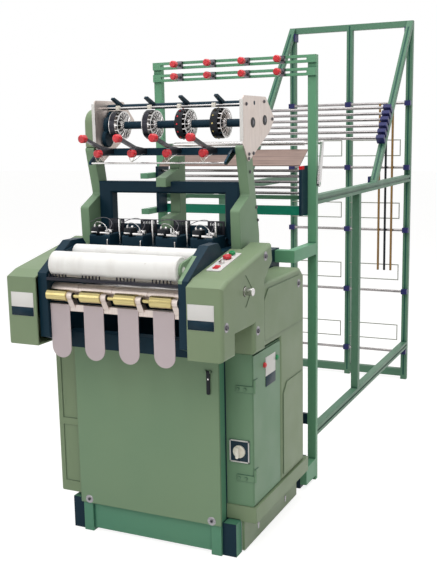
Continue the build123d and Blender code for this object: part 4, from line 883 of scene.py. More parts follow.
@dataclass
class BarePlates:
    """Bare two-tone plates on the front of both head covers."""

    width: float = 98.0 * MM
    height: float = 87.0 * MM
    low: float = 926.0 * MM
    thick: float = 1.2 * MM
    band_share: float = 0.38
    band_proud: float = 0.4 * MM
    left_inset: float = 12.0 * MM
    right_inset: float = 4.0 * MM
    edge: float = 0.4 * MM

    def build(self) -> None:
        """Makes a pale plate and its dark lower band on each cover."""
        for side in ("left", "right"):
            low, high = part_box(f"{side}_head_cover")
            start = low.x + self.right_inset if side == "right" else high.x - self.left_inset - self.width
            corner = Vector((start, low.y - self.thick, self.low))
            top = Vector((start + self.width, low.y, self.low + self.height))
            plate = Shape(f"{side}_bare_plate")
            plate.block(corner, top, self.edge)
            plate.finish(PALE, FRAME_BODY, "pale_paint")
            band = Shape(f"{side}_plate_band")
            rim = Vector((self.edge, 0.0, self.edge))
            band.block(corner + rim - Vector((0.0, self.band_proud, 0.0)),
                       Vector((top.x - self.edge, corner.y + self.edge / 2.0,
                               self.low + self.height * self.band_share)), self.edge / 2.0)
            band.finish(CASTING, FRAME_BODY, "navy_casting")


@dataclass
class DoorFittings:
    """Lamp lenses and the bare plate on the electric door, and the frame of the main switch."""

    door_thick: float = 4.0 * MM
    lens_radius: float = 10.0 * MM
    lens_length: float = 10.0 * MM
    lens_rim_share: float = 0.45
    lens_tip: float = 0.2 * MM
    lens_steps: int = 5
    red_lamp: Point = (0.0, 165.0, 713.0)
    green_lamp: Point = (0.0, 292.0, 713.0)
    plate_low: Point = (0.0, 177.0, 624.0)
    plate_high: Point = (0.0, 278.0, 738.0)
    plate_thick: float = 1.2 * MM
    plate_edge: float = 0.3 * MM
    band_share: float = 0.36
    band_proud: float = 0.4 * MM
    pad_low: Point = (318.0, 57.0, 359.5)
    pad_high: Point = (398.0, 57.0, 446.5)
    frame_bar: float = 5.0 * MM
    frame_proud: float = 1.2 * MM

    def lens(self, name: str, place: Vector, finish: Finish, slot: str) -> None:
        """Makes a domed lens on a lamp.

        Args:
            name: The lens's name.
            place: The foot of its axis on the door.
            finish: Its finish.
            slot: Its record slot.
        """
        dome = [(self.lens_radius, 0.0)]
        for step in range(self.lens_steps + 1):
            angle = math.radians(90.0) * step / self.lens_steps
            rise = self.lens_rim_share + (1.0 - self.lens_rim_share) * math.sin(angle)
            dome.append((max(self.lens_radius * math.cos(angle), self.lens_tip), self.lens_length * rise))
        lens = Shape(name)
        lens.turned(place, Axis.ACROSS.value, dome, LENS_SIDES)
        lens.finish(finish, "door", slot)

    def plate(self, face: Vector) -> None:
        """Makes the bare plate and its dark lower band.

        Args:
            face: How far across the door's face lies.
        """
        low, high = at(*self.plate_low) + face, at(*self.plate_high) + face
        low.x -= self.plate_edge
        high.x += self.plate_thick
        sheet = Shape("door_bare_plate")
        sheet.block(low, high, self.plate_edge)
        sheet.finish(PALE, "door", "pale_paint")
        high.x += self.band_proud
        high.z = low.z + (high.z - low.z) * self.band_share
        band = Shape("door_plate_band")
        band.block(low, high, self.plate_edge)
        band.finish(CASTING, "door", "navy_casting")

    def switch_frame(self) -> None:
        """Makes the pale rim around the main switch."""
        low, high = at(*self.pad_low), at(*self.pad_high)
        out = Vector((0.0, self.frame_proud, 0.0))
        rim = Shape("switch_frame")
        side = Vector((self.frame_bar, 0.0, high.z - low.z))
        level = Vector((high.x - low.x, 0.0, self.frame_bar))
        for corner, size in ((low, side), (Vector((high.x - side.x, low.y, low.z)), side),
                             (low, level), (Vector((low.x, low.y, high.z - level.z)), level)):
            rim.block(corner - out, corner + size + out)
        rim.finish(PALE, FRAME_BODY, "pale_paint")

    def build(self) -> None:
        """Makes the lenses, the plate and the switch frame."""
        face = Vector((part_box("electric_door")[0].x + self.door_thick, 0.0, 0.0))
        self.lens("red_lamp_lens", at(*self.red_lamp) + face, RED, "red_plastic")
        self.lens("green_lamp_lens", at(*self.green_lamp) + face, GREEN_CAP, "green_plastic")
        self.plate(face)
        self.switch_frame()


@dataclass
class FeedTrim:
    """Rims, spokes and hubs of the feed wheels, dark bands of painted shade on the left pair, studded cups on
    the right.
    """

    axle: Span = (250.0, 1606.0)
    middles: tuple[float, ...] = (-220.5, -73.5, 73.5, 220.5)
    half_width: float = 18.0
    radius: float = 55.0 * MM
    ring_inner: float = 48.5 * MM
    ring_thick: float = 3.0 * MM
    hub_inner: float = 15.4 * MM
    hub_outer: float = 21.0 * MM
    hub_thick: float = 9.0 * MM
    face_thick: float = 1.6 * MM
    proud: float = 1.4 * MM
    # Length of the dark band of painted shade on each left wheel.
    shade_band_length: float = 22.0 * MM
    cup_length: float = 24.0 * MM
    cup_thick: float = 8.0 * MM
    cup_edge: float = 2.0 * MM
    spokes: int = 18
    spoke_radius: float = 2.1 * MM
    spoke_line: tuple[Span, ...] = ((50.0, 1.0), (36.0, 6.0), (20.0, 8.0))
    studs: int = 12
    stud_radius: float = 3.4 * MM
    stud_height: float = 1.4 * MM
    stud_shift: float = 4.0
    around: int = 48

    @property
    def pairs(self) -> tuple[tuple[float, ...], tuple[float, ...]]:
        """The middles of the left and of the right pair of wheels."""
        half = len(self.middles) // 2
        return self.middles[:half], self.middles[half:]

    def ring(self, shape: Shape, middle: float, way: float, inner: float, outer: float, thick: float) -> None:
        """Adds a ring on a face of a wheel.

        Args:
            shape: The piece that it belongs to.
            middle: The wheel's middle.
            way: One for the right face, minus one for the left.
            inner: The ring's inner radius.
            outer: Its outer radius.
            thick: Its thickness.
        """
        place = at(middle + way * self.half_width, *self.axle)
        shape.ring(place, Axis.ACROSS.value * way, (inner, outer), thick, thick / 4.0, self.around)

    def rings(self) -> None:
        """Makes the rims at the wheels' open faces and a cap ring at each side of the hubs."""
        metal = Shape("feed_wheel_rings")
        left, right = self.pairs
        for middle in left + right:
            self.ring(metal, middle, 1.0, self.hub_inner, self.hub_outer, self.hub_thick)
            self.ring(metal, middle, 1.0, self.ring_inner, self.radius, self.face_thick)
        for middle in left:
            self.ring(metal, middle, -1.0, self.hub_inner, self.hub_outer, self.hub_thick)
            self.ring(metal, middle, -1.0, self.ring_inner, self.radius + self.proud, self.ring_thick)
        metal.finish(BRIGHT, "feed", "bright_steel")

    def way_out(self, step: int, count: int) -> Vector:
        """Gives the direction from the axle to one of a number of places around it."""
        angle = math.tau * step / count
        return Vector((0.0, math.cos(angle), math.sin(angle)))

    def dishes(self) -> None:
        """Makes the spokes that rise from each wheel's right rim to its hub."""
        lines = []
        for middle in self.middles:
            for step in range(self.spokes):
                out = self.way_out(step, self.spokes)
                lines.append([at(middle + self.half_width + rise, *self.axle) + out * reach * MM
                              for reach, rise in self.spoke_line])
        draw_wires("feed_wheel_spokes", lines, self.spoke_radius, BRIGHT, "feed", "bright_steel")

    def covers(self) -> None:
        """Makes the dark bands around the left pair, painted shade for the gap between their rims, and the
        dark cups on the right pair.
        """
        shade_bands, cups = Shape("feed_wheel_shade_bands"), Shape("feed_wheel_cups")
        outer, edge = self.radius + self.proud, self.cup_edge
        left, right = self.pairs
        # Painted shade: a dark band over each left wheel's rim reads as the shaded gap behind its thin bright
        # ring.
        for middle in left:
            shade_bands.turned(at(middle - self.half_width, *self.axle), Axis.ACROSS.value, [
                (self.radius, 0.0), (outer, 0.0), (outer, self.shade_band_length), (self.radius, self.shade_band_length)],
                self.around, open_bore=True)
        for middle in right:
            cups.turned(at(middle - self.half_width, *self.axle), Axis.ACROSS.value, [
                (self.hub_inner, -self.cup_thick), (outer - edge, -self.cup_thick),
                (outer, edge - self.cup_thick), (outer, self.cup_length), (self.radius, self.cup_length),
                (self.radius, 0.0), (self.hub_inner, 0.0)], self.around, open_bore=True)
        shade_bands.finish(DARK, "feed", "shaft_steel")
        cups.finish(BLACK, "feed", "black_plastic")

    def rim_studs(self) -> None:
        """Sets the coloured studs around the cups, red on the first and brass on the second."""
        sizes = bolt_sizes(self.stud_radius, self.stud_height, self.stud_radius, self.stud_height / 2.0)
        kinds = (("red_rim_studs", RED, "red_plastic"), ("brass_rim_studs", BRASS, "brass_roll"))
        for middle, (name, finish, slot) in zip(self.pairs[1], kinds):
            place = at(middle - self.half_width + self.stud_shift, *self.axle)
            ways = [self.way_out(step, self.studs) for step in range(self.studs)]
            points = [place + way * (self.radius + self.proud) for way in ways]
            FASTENERS.make(name, point_mesh(name, points, ways), sizes, finish, "feed", slot)

    def build(self) -> None:
        """Makes the rings, the spokes, the dark covers and the studs."""
        self.rings()
        self.dishes()
        self.covers()
        self.rim_studs()


@dataclass
class PlateFittings:
    """White front edges, bearing seals and bolts on the bearing plates and the right arm."""

    plate_face: float = 346.0
    arm_face: float = 342.0
    lips: tuple[Span, ...] = ((-293.0, -279.0), (332.0, 346.0))
    lip_front: float = 160.0
    lip_low: float = 1539.0
    lip_high: float = 1688.0
    lip_thick: float = 0.7
    seals: tuple[Span, ...] = ((250.0, 1606.0), (367.0, 1615.0))
    seal_radius: float = 19.0 * MM
    seal_proud: float = 2.0 * MM
    eye_radius: float = 8.0 * MM
    eye_proud: float = 3.2 * MM
    plate_bolts: tuple[Span, ...] = (
        (190.0, 1672.0), (362.0, 1684.0), (444.0, 1620.0), (210.0, 1492.0), (252.0, 1494.0), (208.0, 1476.0))
    arm_bolts: tuple[Span, ...] = ((225.0, 1427.0), (281.0, 1292.0), (295.0, 1242.0))
    bolt_radius: float = 5.0 * MM
    bolt_height: float = 3.5 * MM
    washer_radius: float = 7.0 * MM
    washer_height: float = 1.0 * MM
    left_face: float = -279.0
    lobes: tuple[tuple[float, float, float], ...] = ((276.0, 1640.0, 24.0), (238.0, 1556.0, 35.0))
    lobe_thick: float = 14.0 * MM
    lobe_edge: float = 4.0 * MM

    def case_lobes(self) -> None:
        """Makes the round lobes above and below the belt case on the left plate."""
        case = Shape("case_lobes")
        for depth, up, reach in self.lobes:
            case.disc(at(self.left_face, depth, up), Axis.ACROSS.value, reach * MM, self.lobe_thick,
                      self.lobe_edge)
        case.finish(CASTING, FRAME_BODY, "navy_casting")

    def edges(self) -> None:
        """Makes the white strips on the folded front lips."""
        strip = Shape("plate_front_edges")
        for low, high in self.lips:
            strip.block(at(low, self.lip_front - self.lip_thick, self.lip_low),
                        at(high, self.lip_front, self.lip_high))
        strip.finish(PALE, FRAME_BODY, "pale_paint")

    def bearings(self) -> None:
        """Makes the dark seals and their bright eyes on the right plate."""
        dark, bright = Shape("bearing_seals"), Shape("bearing_eyes")
        for depth, up in self.seals:
            place = at(self.plate_face, depth, up)
            edge = self.seal_proud / 2.0
            dark.disc(place, Axis.ACROSS.value, self.seal_radius, self.seal_proud, edge)
            bright.disc(place, Axis.ACROSS.value, self.eye_radius, self.eye_proud, edge, SMALL_SIDES)
        dark.finish(BLACK, FRAME_BODY, "black_plastic")
        bright.finish(SHAFT, FRAME_BODY, "shaft_steel")

    def build(self) -> None:
        """Makes the edges, the bearings, the case lobes and the bolts."""
        self.edges()
        self.bearings()
        self.case_lobes()
        places = [at(self.plate_face, *spot) for spot in self.plate_bolts]
        places += [at(self.arm_face, *spot) for spot in self.arm_bolts]
        sizes = bolt_sizes(self.bolt_radius, self.bolt_height, self.washer_radius, self.washer_height)
        mesh = point_mesh("plate_bolts", places, [Axis.ACROSS.value] * len(places))
        FASTENERS.make("plate_bolts", mesh, sizes, SHAFT, FRAME_BODY, "shaft_steel")


@dataclass
class HeadFittings:
    """Dark needle housings, bright posts and spring wires on the four weaving heads."""

    deck: float = 1150.0
    top: float = 1195.0
    housing: tuple[Point, Point] = ((-41.0, 66.0, 0.0), (-7.0, 112.0, 27.0))
    housing_edge: float = 4.0 * MM
    bars: tuple[tuple[Point, Point], ...] = (
        ((-4.0, 68.0, 0.0), (40.0, 73.0, 9.0)), ((4.0, 90.0, 0.0), (14.0, 108.0, 14.0)),
        ((28.0, 84.0, 0.0), (41.0, 96.0, 18.0)), ((-38.0, 62.0, 5.0), (-12.0, 66.0, 11.0)))
    bar_edge: float = 1.2 * MM
    pins: tuple[tuple[float, float, float, float], ...] = (
        (20.0, 98.0, 4.5, 18.0), (22.0, 80.0, 3.0, 24.0), (-16.0, 90.0, 6.0, 34.0), (-31.0, 80.0, 4.0, 36.0))
    post_step: float = 66.0
    post_most: float = 257.0
    post_depth: Span = (98.0, 107.0)
    post_half: float = 3.0
    post_high: float = 1252.0
    stud: tuple[float, float, float, float] = (38.0, 55.0, 3.6, 28.0)
    spring: tuple[Point, ...] = (
        (-76.0, 120.0, 1236.0), (-46.0, 124.0, 1249.0), (-16.0, 126.0, 1254.0), (10.0, 122.0, 1247.0),
        (26.0, 112.0, 1232.0), (22.0, 98.0, 1212.0))
    finger: tuple[Point, ...] = (
        (-31.0, 80.0, 1230.0), (-20.0, 76.0, 1241.0), (4.0, 72.0, 1240.0), (26.0, 68.0, 1226.0),
        (34.0, 66.0, 1208.0))
    spring_radius: float = 1.3 * MM
    finger_radius: float = 1.5 * MM
    wire: tuple[Point, ...] = ((-156.0, 102.5, 1253.2), (52.0, 102.5, 1253.2), (261.0, 102.5, 1253.2))
    wire_radius: float = 1.2 * MM

    def pin(self, shape: Shape, place: Vector, radius: float, height: float) -> None:
        """Adds an upright pin with a chamfered tip.

        Args:
            shape: The piece that it belongs to.
            place: The middle of its foot.
            radius: Its radius in millimetres.
            height: Its height in millimetres.
        """
        shape.disc(place, Axis.UP.value, radius * MM, height * MM, radius / 3.0 * MM, PIN_SIDES)

    def build(self) -> None:
        """Makes the fittings of all heads."""
        dark, bright = Shape("needle_housings"), Shape("head_fittings")
        springs, fingers = [], []
        for middle in HEAD_MIDDLES:
            foot = Vector((middle, 0.0, self.top)) * MM
            low, high = (at(*corner) + foot for corner in self.housing)
            dark.block(low, high, self.housing_edge)
            for low, high in self.bars:
                bright.block(at(*low) + foot, at(*high) + foot, self.bar_edge)
            for across, depth, radius, height in self.pins:
                self.pin(bright, at(middle + across, depth, self.top), radius, height)
            across, depth, radius, height = self.stud
            self.pin(bright, at(middle + across, depth, self.deck), radius, height)
            post = min(middle + self.post_step, self.post_most)
            bright.block(at(post - self.post_half, self.post_depth[0], self.deck),
                         at(post + self.post_half, self.post_depth[1], self.post_high), self.bar_edge)
            springs.append([at(middle + x, y, z) for x, y, z in self.spring])
            fingers.append([at(middle + x, y, z) for x, y, z in self.finger])
        dark.finish(BLACK, FRAME_BODY, "black_plastic")
        bright.finish(BRIGHT, FRAME_BODY, "bright_steel")
        draw_wires("head_springs", springs, self.spring_radius, SHAFT, FRAME_BODY, "shaft_steel")
        draw_wires("head_fingers", fingers, self.finger_radius, BRIGHT, FRAME_BODY, "bright_steel")
        level = [[at(*point) for point in self.wire]]
        draw_wires("head_wire", level, self.wire_radius, SHAFT, FRAME_BODY, "shaft_steel")


@dataclass
class InnerBoards:
    """Dark boards behind the reeds, on both sides of the yoke, and the shield behind the drive space."""

    inner: float = 22.0
    outer: float = 246.0
    front: float = 216.0
    back: float = 240.0
    low: float = 1150.0
    high: float = 1222.0
    edge: float = 2.0 * MM
    shield_low: Point = (-266.0, 404.0, 640.0)
    shield_high: Point = (266.0, 407.0, 1080.0)
    shield_edge: float = 0.5 * MM

    def build(self) -> None:
        """Makes the boards and the shield."""
        boards = Shape("harness_boards")
        for left, right in ((-self.outer, -self.inner), (self.inner, self.outer)):
            boards.block(at(left, self.front, self.low), at(right, self.back, self.high), self.edge)
        boards.finish(CASTING, FRAME_BODY, "navy_casting")
        shield = Shape("drive_shield")
        shield.block(at(*self.shield_low), at(*self.shield_high), self.shield_edge)
        shield.finish(CASTING, FRAME_BODY, "navy_casting")


@dataclass
class NipEyes:
    """Dark rings of painted shade, for the holes around the nip spindle at the right faces of the nip
    brackets.
    """

    faces: tuple[float, ...] = (-157.2, -16.2, 124.8)
    spindle: Span = (-221.0, 1008.0)
    inner: float = 7.4 * MM
    outer: float = 12.5 * MM
    thick: float = 1.6 * MM

    def build(self) -> None:
        """Makes the rings of painted hole shade."""
        # Painted shade: dark rings stand in for the shaded bolt holes around the spindle.
        eyes = Shape("nip_hole_shade")
        for face in self.faces:
            eyes.ring(at(face, *self.spindle), Axis.ACROSS.value, (self.inner, self.outer), self.thick,
                      self.thick / 2.0)
        eyes.finish(DARK, FRAME_BODY, "shaft_steel")


@dataclass
class YarnGuides:
    """White eyes on the upper guide rod, pigtails below the caps and wires down to the stop bail."""

    eyes: tuple[float, ...] = (-211.0, -71.0, 58.0, 202.0)
    eye_half: tuple[float, float, float] = (8.0, 6.5, 8.0)
    rod: Span = (222.0, 1673.0)
    eye_edge: float = 1.5 * MM
    pigtail: tuple[Point, ...] = (
        (-10.0, 80.0, 1486.0), (-7.0, 79.0, 1477.0), (0.0, 78.0, 1471.0), (7.0, 79.0, 1477.0),
        (10.0, 80.0, 1486.0))
    hanger: tuple[Point, ...] = (
        (-12.0, 184.0, 1494.0), (-20.0, 168.0, 1486.0), (-27.0, 148.0, 1474.0), (-31.0, 130.0, 1467.0))
    wire_radius: float = 1.3 * MM

    def build(self) -> None:
        """Makes the eyes and the wires."""
        half = Vector(self.eye_half) * MM
        white = Shape("guide_eyes")
        for across in self.eyes:
            place = at(across, *self.rod)
            white.block(place - half, place + half, self.eye_edge)
        white.finish(IVORY, FRAME_BODY, "white_plastic")
        pigtails = [[at(middle + x, y, z) for x, y, z in self.pigtail] for middle in ARM_MIDDLES]
        draw_wires("pigtails", pigtails, self.wire_radius, IVORY, FRAME_BODY, "white_plastic")
        hangers = [[at(middle + x, y, z) for x, y, z in self.hanger] for middle in ARM_MIDDLES]
        draw_wires("bail_wires", hangers, self.wire_radius, BRIGHT, "bail", "bright_steel")


@dataclass
class BoltSeats:
    """Bright washers and dark discs of painted shade in the hex sockets, at the bolts of the covers and the
    front panel, and hinge bolts.
    """

    cover_face: float = 436.0
    cover_bolts: tuple[Span, ...] = ((60.0, 868.0), (139.0, 1128.0), (-212.0, 935.0))
    cover_proud: float = 6.0
    rear_faces: Span = (-418.0, 422.0)
    rear_bolt: Span = (530.0, 965.0)
    panel_front: float = -10.0
    panel_screw: Span = (270.0, 139.0)
    panel_proud: float = 3.0
    washer_inner: float = 7.0 * MM
    washer_outer: float = 17.0 * MM
    washer_thick: float = 1.2 * MM
    socket_radius: float = 4.0 * MM
    socket_thick: float = 0.4 * MM
    hinge_front: float = 57.0
    hinge_across: tuple[float, ...] = (356.0, 384.0)
    hinge_up: tuple[float, ...] = (300.0, 644.0)
    hinge_sizes: tuple[float, float, float, float] = (5.0, 3.0, 8.0, 1.0)

    def places(self) -> list[tuple[Vector, Vector, float]]:
        """Finds the bolts.

        Returns:
            The foot, the direction and the head's height of each bolt.
        """
        out, front = Axis.ACROSS.value, -Axis.DEPTH.value
        found = []
        for way, rear in zip((-1.0, 1.0), self.rear_faces):
            found += [(at(way * self.cover_face, *spot), out * way, self.cover_proud * MM)
                      for spot in self.cover_bolts]
            found.append((at(rear, *self.rear_bolt), out * way, self.cover_proud * MM))
            across, up = self.panel_screw
            found.append((at(way * across, self.panel_front, up), front, self.panel_proud * MM))
        return found

    def build(self) -> None:
        """Makes the washers, the painted socket shade and the hinge bolts."""
        washers, socket_shade = Shape("bolt_washers"), Shape("bolt_socket_shade")
        for foot, way, proud in self.places():
            washers.ring(foot, way, (self.washer_inner, self.washer_outer), self.washer_thick,
                         self.washer_thick / 2.0)
            # Painted shade: a dark hexagon disc on each bolt's end stands in for its shaded hex recess.
            socket_shade.turned(foot + way * proud, way, [
                (self.socket_radius, 0.0), (self.socket_radius, self.socket_thick)], HEXAGON)
        washers.finish(ZINC, FRAME_BODY, "bright_steel")
        socket_shade.finish(BLACK, FRAME_BODY, "black_plastic")
        spots = [at(across, self.hinge_front, up) for across in self.hinge_across for up in self.hinge_up]
        sizes = bolt_sizes(*(size * MM for size in self.hinge_sizes))
        mesh = point_mesh("hinge_bolts", spots, [-Axis.DEPTH.value] * len(spots))
        FASTENERS.make("hinge_bolts", mesh, sizes, BOX_GREEN, FRAME_BODY, "sage_paint")


@dataclass
class CreelGrooves:
    """Dark strips of painted shade in the slots along the front of the creel's diagonals and rear posts."""

    middles: tuple[float, ...] = (-371.0, 371.0)
    low: Span = (1857.6, 1310.8)
    high: Span = (2603.0, 2171.0)
    post_middles: tuple[float, ...] = (-371.0, 0.0, 371.0)
    post_front: float = 2638.0
    post_low: float = 30.0
    post_high: float = 2200.0
    width: float = 9.0 * MM
    thick: float = 1.0 * MM

    def build(self) -> None:
        """Makes the strips of painted slot shade."""
        # Painted shade: thin dark strips stand in for the shaded insides of the slots.
        slot_shade = Shape("creel_slot_shade")
        for across in self.middles:
            slot_shade.beam(at(across, *self.low), at(across, *self.high), Axis.ACROSS.value, self.width,
                       self.thick)
        for across in self.post_middles:
            foot = at(across, self.post_front, self.post_low)
            top = at(across, self.post_front, self.post_high)
            slot_shade.beam(foot, top, Axis.ACROSS.value, self.width, self.thick)
        slot_shade.finish(SLOT_SHADE, FRAME_BODY, "frame_paint")


@dataclass
class CabinetTrim:
    """The latch's bright rivet and the clips of the right skirt."""

    rivet: Span = (269.0, 690.0)
    rivet_radius: float = 3.2 * MM
    rivet_proud: float = 0.8 * MM
    clips: tuple[Span, ...] = ((65.0, 106.0), (349.0, 98.0))
    skirt_face: float = 425.0
    clip_size: Point = (3.0, 9.0, 24.0)
    clip_edge: float = 1.0 * MM
    hook_radius: float = 5.0 * MM
    hook_length: float = 5.0 * MM

    def build(self) -> None:
        """Makes the rivet and the clips."""
        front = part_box("panel_latch")[0].y
        dot = Shape("latch_rivet")
        across, up = self.rivet
        place = Vector((across * MM, front, up * MM))
        dot.turned(place, -Axis.DEPTH.value, [
            (self.rivet_radius, 0.0), (self.rivet_radius / 2.0, self.rivet_proud)], PIN_SIDES)
        dot.finish(BRIGHT, "latch", "bright_steel")
        metal = Shape("skirt_clips")
        size = Vector(self.clip_size) * MM
        for depth, up in self.clips:
            corner = at(self.skirt_face, depth, up)
            metal.block(corner, corner + size, self.clip_edge)
            knob = corner + Vector((0.0, size.y / 2.0, size.z - self.hook_radius))
            metal.disc(knob, Axis.ACROSS.value, self.hook_radius, self.hook_length, self.hook_radius / 2.0,
                       SMALL_SIDES)
        metal.finish(ZINC, FRAME_BODY, "bright_steel")


@dataclass(frozen=True)
class Lamp:
    """A soft square light: its name, place, side in metres and power in watts."""

    name: str
    place: Point
    side: float
    power: float


@dataclass
class Studio:
    """The pale floor, the soft lights and the camera at the photograph's place."""

    lens: float = 54.65
    sensor: float = 36.0
    eye: Point = (1.6217, -4.029, 1.57)
    yaw: float = math.radians(24.99)
    pitch: float = math.radians(10.152)
    roll: float = math.radians(1.025)
    floor_half: float = 30.0
    floor_shown: float = 0.6
    floor_glow: float = 1.42
    floor_roughness: float = 0.9
    fill: float = 0.33
    clip_end: float = 100.0
    aim: Point = (0.0, -0.6, 1.0)
    lamps: tuple[Lamp, ...] = (
        Lamp("key_light", (1.2, -5.0, 5.0), 3.2, 112.0),
        Lamp("top_light", (0.2, -0.9, 5.4), 3.4, 150.0),
        Lamp("fill_light", (-3.6, -4.6, 2.6), 3.0, 36.0),
        Lamp("rear_light", (2.8, 3.6, 4.4), 3.0, 36.0),
    )

    def camera(self) -> None:
        """Sets the camera where the photograph was taken."""
        ahead = Vector((-math.sin(self.yaw), math.cos(self.yaw), 0.0))
        right = Vector((math.cos(self.yaw), math.sin(self.yaw), 0.0))
        up = Vector((0.0, 0.0, 1.0))
        look = math.cos(self.pitch) * ahead - math.sin(self.pitch) * up
        down = -math.sin(self.pitch) * ahead - math.cos(self.pitch) * up
        across = math.cos(self.roll) * right + math.sin(self.roll) * down
        below = -math.sin(self.roll) * right + math.cos(self.roll) * down
        data = bpy.data.cameras.new("photo_camera")
        data.lens = self.lens
        data.sensor_width = self.sensor
        data.clip_end = self.clip_end
        camera = bpy.data.objects.new("photo_camera", data)
        turn = Matrix((across, -below, -look)).transposed().to_4x4()
        camera.matrix_world = Matrix.Translation(self.eye) @ turn
        bpy.context.scene.collection.objects.link(camera)
        bpy.context.scene.camera = camera

    def shown(self, sheet: NodeSheet, low: float, high: float) -> bpy.types.NodeSocket:
        """Tells the rays that show the surroundings, camera, glossy and transmission rays, from the rest.

        Args:
            sheet: The node tree that asks.
            low: The value for rays that only carry light.
            high: The value for rays that show the surroundings.

        Returns:
            The value for each ray.
        """
        rays = sheet.add("ShaderNodeLightPath", {}).outputs
        seen = rays["Is Camera Ray"]
        for name in ("Is Glossy Ray", "Is Transmission Ray"):
            seen = sheet.add("ShaderNodeMath", {0: seen, 1: rays[name]}, operation="MAXIMUM").outputs[0]
        ranged = sheet.add("ShaderNodeMapRange", {"Value": seen, "To Min": low, "To Max": high})
        return ranged.outputs["Result"]

    def world(self) -> None:
        """Makes the surroundings white where they are seen and softer where they only give light."""
        world = bpy.data.worlds.new("white_studio")
        world.use_nodes = True
        sheet = NodeSheet(world.node_tree)
        sky = next(node for node in sheet.tree.nodes if node.type == "BACKGROUND")
        sky.inputs["Color"].default_value = (1.0, 1.0, 1.0, 1.0)
        sheet.tree.links.new(self.shown(sheet, self.fill, 1.0), sky.inputs["Strength"])
        bpy.context.scene.world = world

    def floor(self) -> None:
        """Lays the pale floor, which keeps a soft shadow."""
        data = bpy.data.meshes.new("floor")
        half = self.floor_half
        data.from_pydata([(-half, -half, 0.0), (half, -half, 0.0), (half, half, 0.0), (-half, half, 0.0)],
                         [], [(0, 1, 2, 3)])
        floor = bpy.data.objects.new("floor", data)
        bpy.context.scene.collection.objects.link(floor)
        graph = Graph("pale floor")
        graph.fix("Base Color", WHITE)
        graph.fix("Roughness", self.floor_roughness)
        glow = graph.add("ShaderNodeEmission", {"Strength": self.floor_glow})
        mixed = graph.add("ShaderNodeMixShader", {
            0: self.shown(graph, 0.0, self.floor_shown), 1: graph.shader.outputs[0], 2: glow.outputs[0]})
        out = next(node for node in graph.tree.nodes if node.type == "OUTPUT_MATERIAL")
        graph.tree.links.new(mixed.outputs[0], out.inputs["Surface"])
        data.materials.append(graph.material)

    def light(self, lamp: Lamp) -> None:
        """Hangs a lamp that faces the loom.

        Args:
            lamp: The lamp.
        """
        data = bpy.data.lights.new(lamp.name, "AREA")
        data.size = lamp.side
        data.energy = lamp.power
        made = bpy.data.objects.new(lamp.name, data)
        turn = (Vector(self.aim) - Vector(lamp.place)).to_track_quat("-Z", "Y").to_matrix().to_4x4()
        made.matrix_world = Matrix.Translation(lamp.place) @ turn
        bpy.context.scene.collection.objects.link(made)

    def build(self) -> None:
        """Makes the whole studio."""
        bpy.context.scene.view_settings.view_transform = "Standard"
        self.world()
        self.floor()
        for lamp in self.lamps:
            self.light(lamp)
        self.camera()


WARM_COVERS = ("left_head_cover", "right_head_cover", "right_rear_cover", "right_skirt", "left_side_cover",
               "drive_casing")


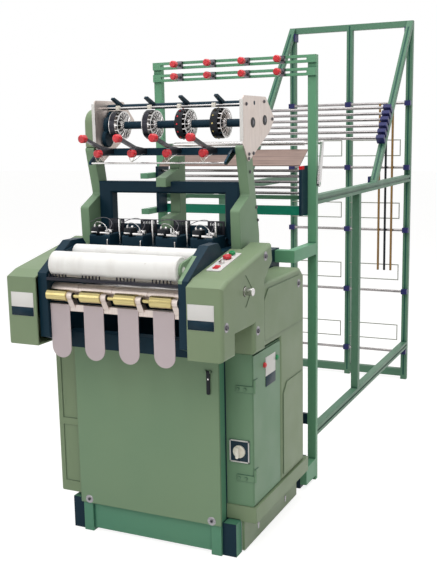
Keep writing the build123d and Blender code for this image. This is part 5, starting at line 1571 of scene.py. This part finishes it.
@dataclass
class TwoTone:
    """Solids with a finish of their own, and the boxes, in millimetres, where some have a second colour."""

    pad: Box = ((317.0, 50.0, 359.0), (399.0, 58.5, 447.0))
    bracket: Box = ((200.0, -300.0, 1000.0), (300.0, 200.0, 1300.0))
    rod: Box = ((-12.0, 2500.0, 700.0), (12.0, 2625.0, 2000.0))
    rods: tuple[tuple[float, Colour], ...] = ((205.0, BROWN), (245.0, NAVY_DEEP), (285.0, BROWN))
    tie: Box = ((-350.0, 700.0, 1000.0), (350.0, 900.0, 1260.0))
    low_tie: Box = ((-350.0, 700.0, 200.0), (350.0, 900.0, 310.0))
    cheek: Box = ((262.0, -260.0, 1075.0), (281.0, -110.0, 1200.0))
    foot: Box = ((309.0, 12.4, -1.0), (361.0, 70.0, 131.0))
    bail_arm: Box = ((284.2, 120.0, 1450.0), (293.0, 216.0, 1520.0))
    marker: Box = ((330.0, 760.0, 1411.0), (360.0, 800.0, 1430.0))

    def zone(self, box: Box, colour: Colour, across: float = 0.0) -> Zone:
        """Makes a zone of a box, moved across by some millimetres."""
        shift = Vector((across * MM, 0.0, 0.0))
        return Zone(at(*box[0]) + shift, at(*box[1]) + shift, colour)

    def pair(self, box: Box, colour: Colour) -> tuple[Zone, Zone]:
        """Makes a zone of a box on the right and its mirror image on the left.

        Args:
            box: The box on the right.
            colour: The zones' colour.

        Returns:
            The left and the right zone.
        """
        (inner, *low), (outer, *high) = box
        return self.zone(((-outer, *low), (-inner, *high)), colour), self.zone(box, colour)

    def finishes(self) -> dict[str, Finish]:
        """Gives the finishes of solids that have two colours or one of their own.

        Returns:
            The finishes by the solids' names.
        """
        rods = tuple(self.zone(self.rod, colour, across) for across, colour in self.rods)
        ties = (self.zone(self.tie, TEAL), self.zone(self.low_tie, NAVY))
        castings = (self.zone(self.cheek, SAGE_LIGHT), *self.pair(self.foot, PLINTH_GREEN.colour))
        wire = replace(PALE, name="creel wire enamel", colour=WIRE_GREY, second=WIRE_GREY, zones=rods)
        return {
            "electric_box": replace(BOX_GREEN, name="switch pad enamel", zones=(self.zone(self.pad, NAVY),)),
            "electric_door": BOX_GREEN,
            "roller_brackets": replace(CASTING, name="roller bracket enamel",
                                       zones=(self.zone(self.bracket, SAGE_LIGHT),)),
            "creel_wires": wire,
            "warp_frame": replace(GREEN, name="warp stand enamel", zones=ties),
            "warp_end_plates": replace(CASTING, name="end plate enamel",
                                       zones=(self.zone(self.marker, RED.colour),)),
            "side_frames": replace(CASTING, name="side frame enamel", zones=castings),
            "stop_bail": replace(BRIGHT, name="bail steel", zones=self.pair(self.bail_arm, NAVY_LIGHT)),
            "creel_bars": ROD,
            "warp_bars": ROD,
            "front_plinth": PLINTH_GREEN,
            "creel_frame": CREEL_GREEN,
            "guide_roller": SLEEVE,
            "reed_batten": DARK,
            "comb_bar": DARK,
            "nip_brackets": PLATE,
            "draw_roll": PLATE,
            "main_shaft": BRIGHT,
            "cover_bolts": SHAFT,
            "control_plate": PALE,
            "rocker_switch": RED,
            "lever_tube": CASTING,
            **{name: WARM_SAGE for name in WARM_COVERS},
        }


def main() -> None:
    """Builds the sub-assemblies in order."""
    logging.basicConfig(level=logging.INFO, format="%(name)s: %(message)s")
    WARDROBE.dress_all(TwoTone().finishes())
    for assembly in (BarePlates(), DoorFittings(), FeedTrim(), PlateFittings(), HeadFittings(), InnerBoards(),
                     NipEyes(), YarnGuides(), BoltSeats(), CreelGrooves(), CabinetTrim(), Studio()):
        assembly.build()
        LOG.info("built %s", type(assembly).__name__)


if __name__ == "__main__":
    main()
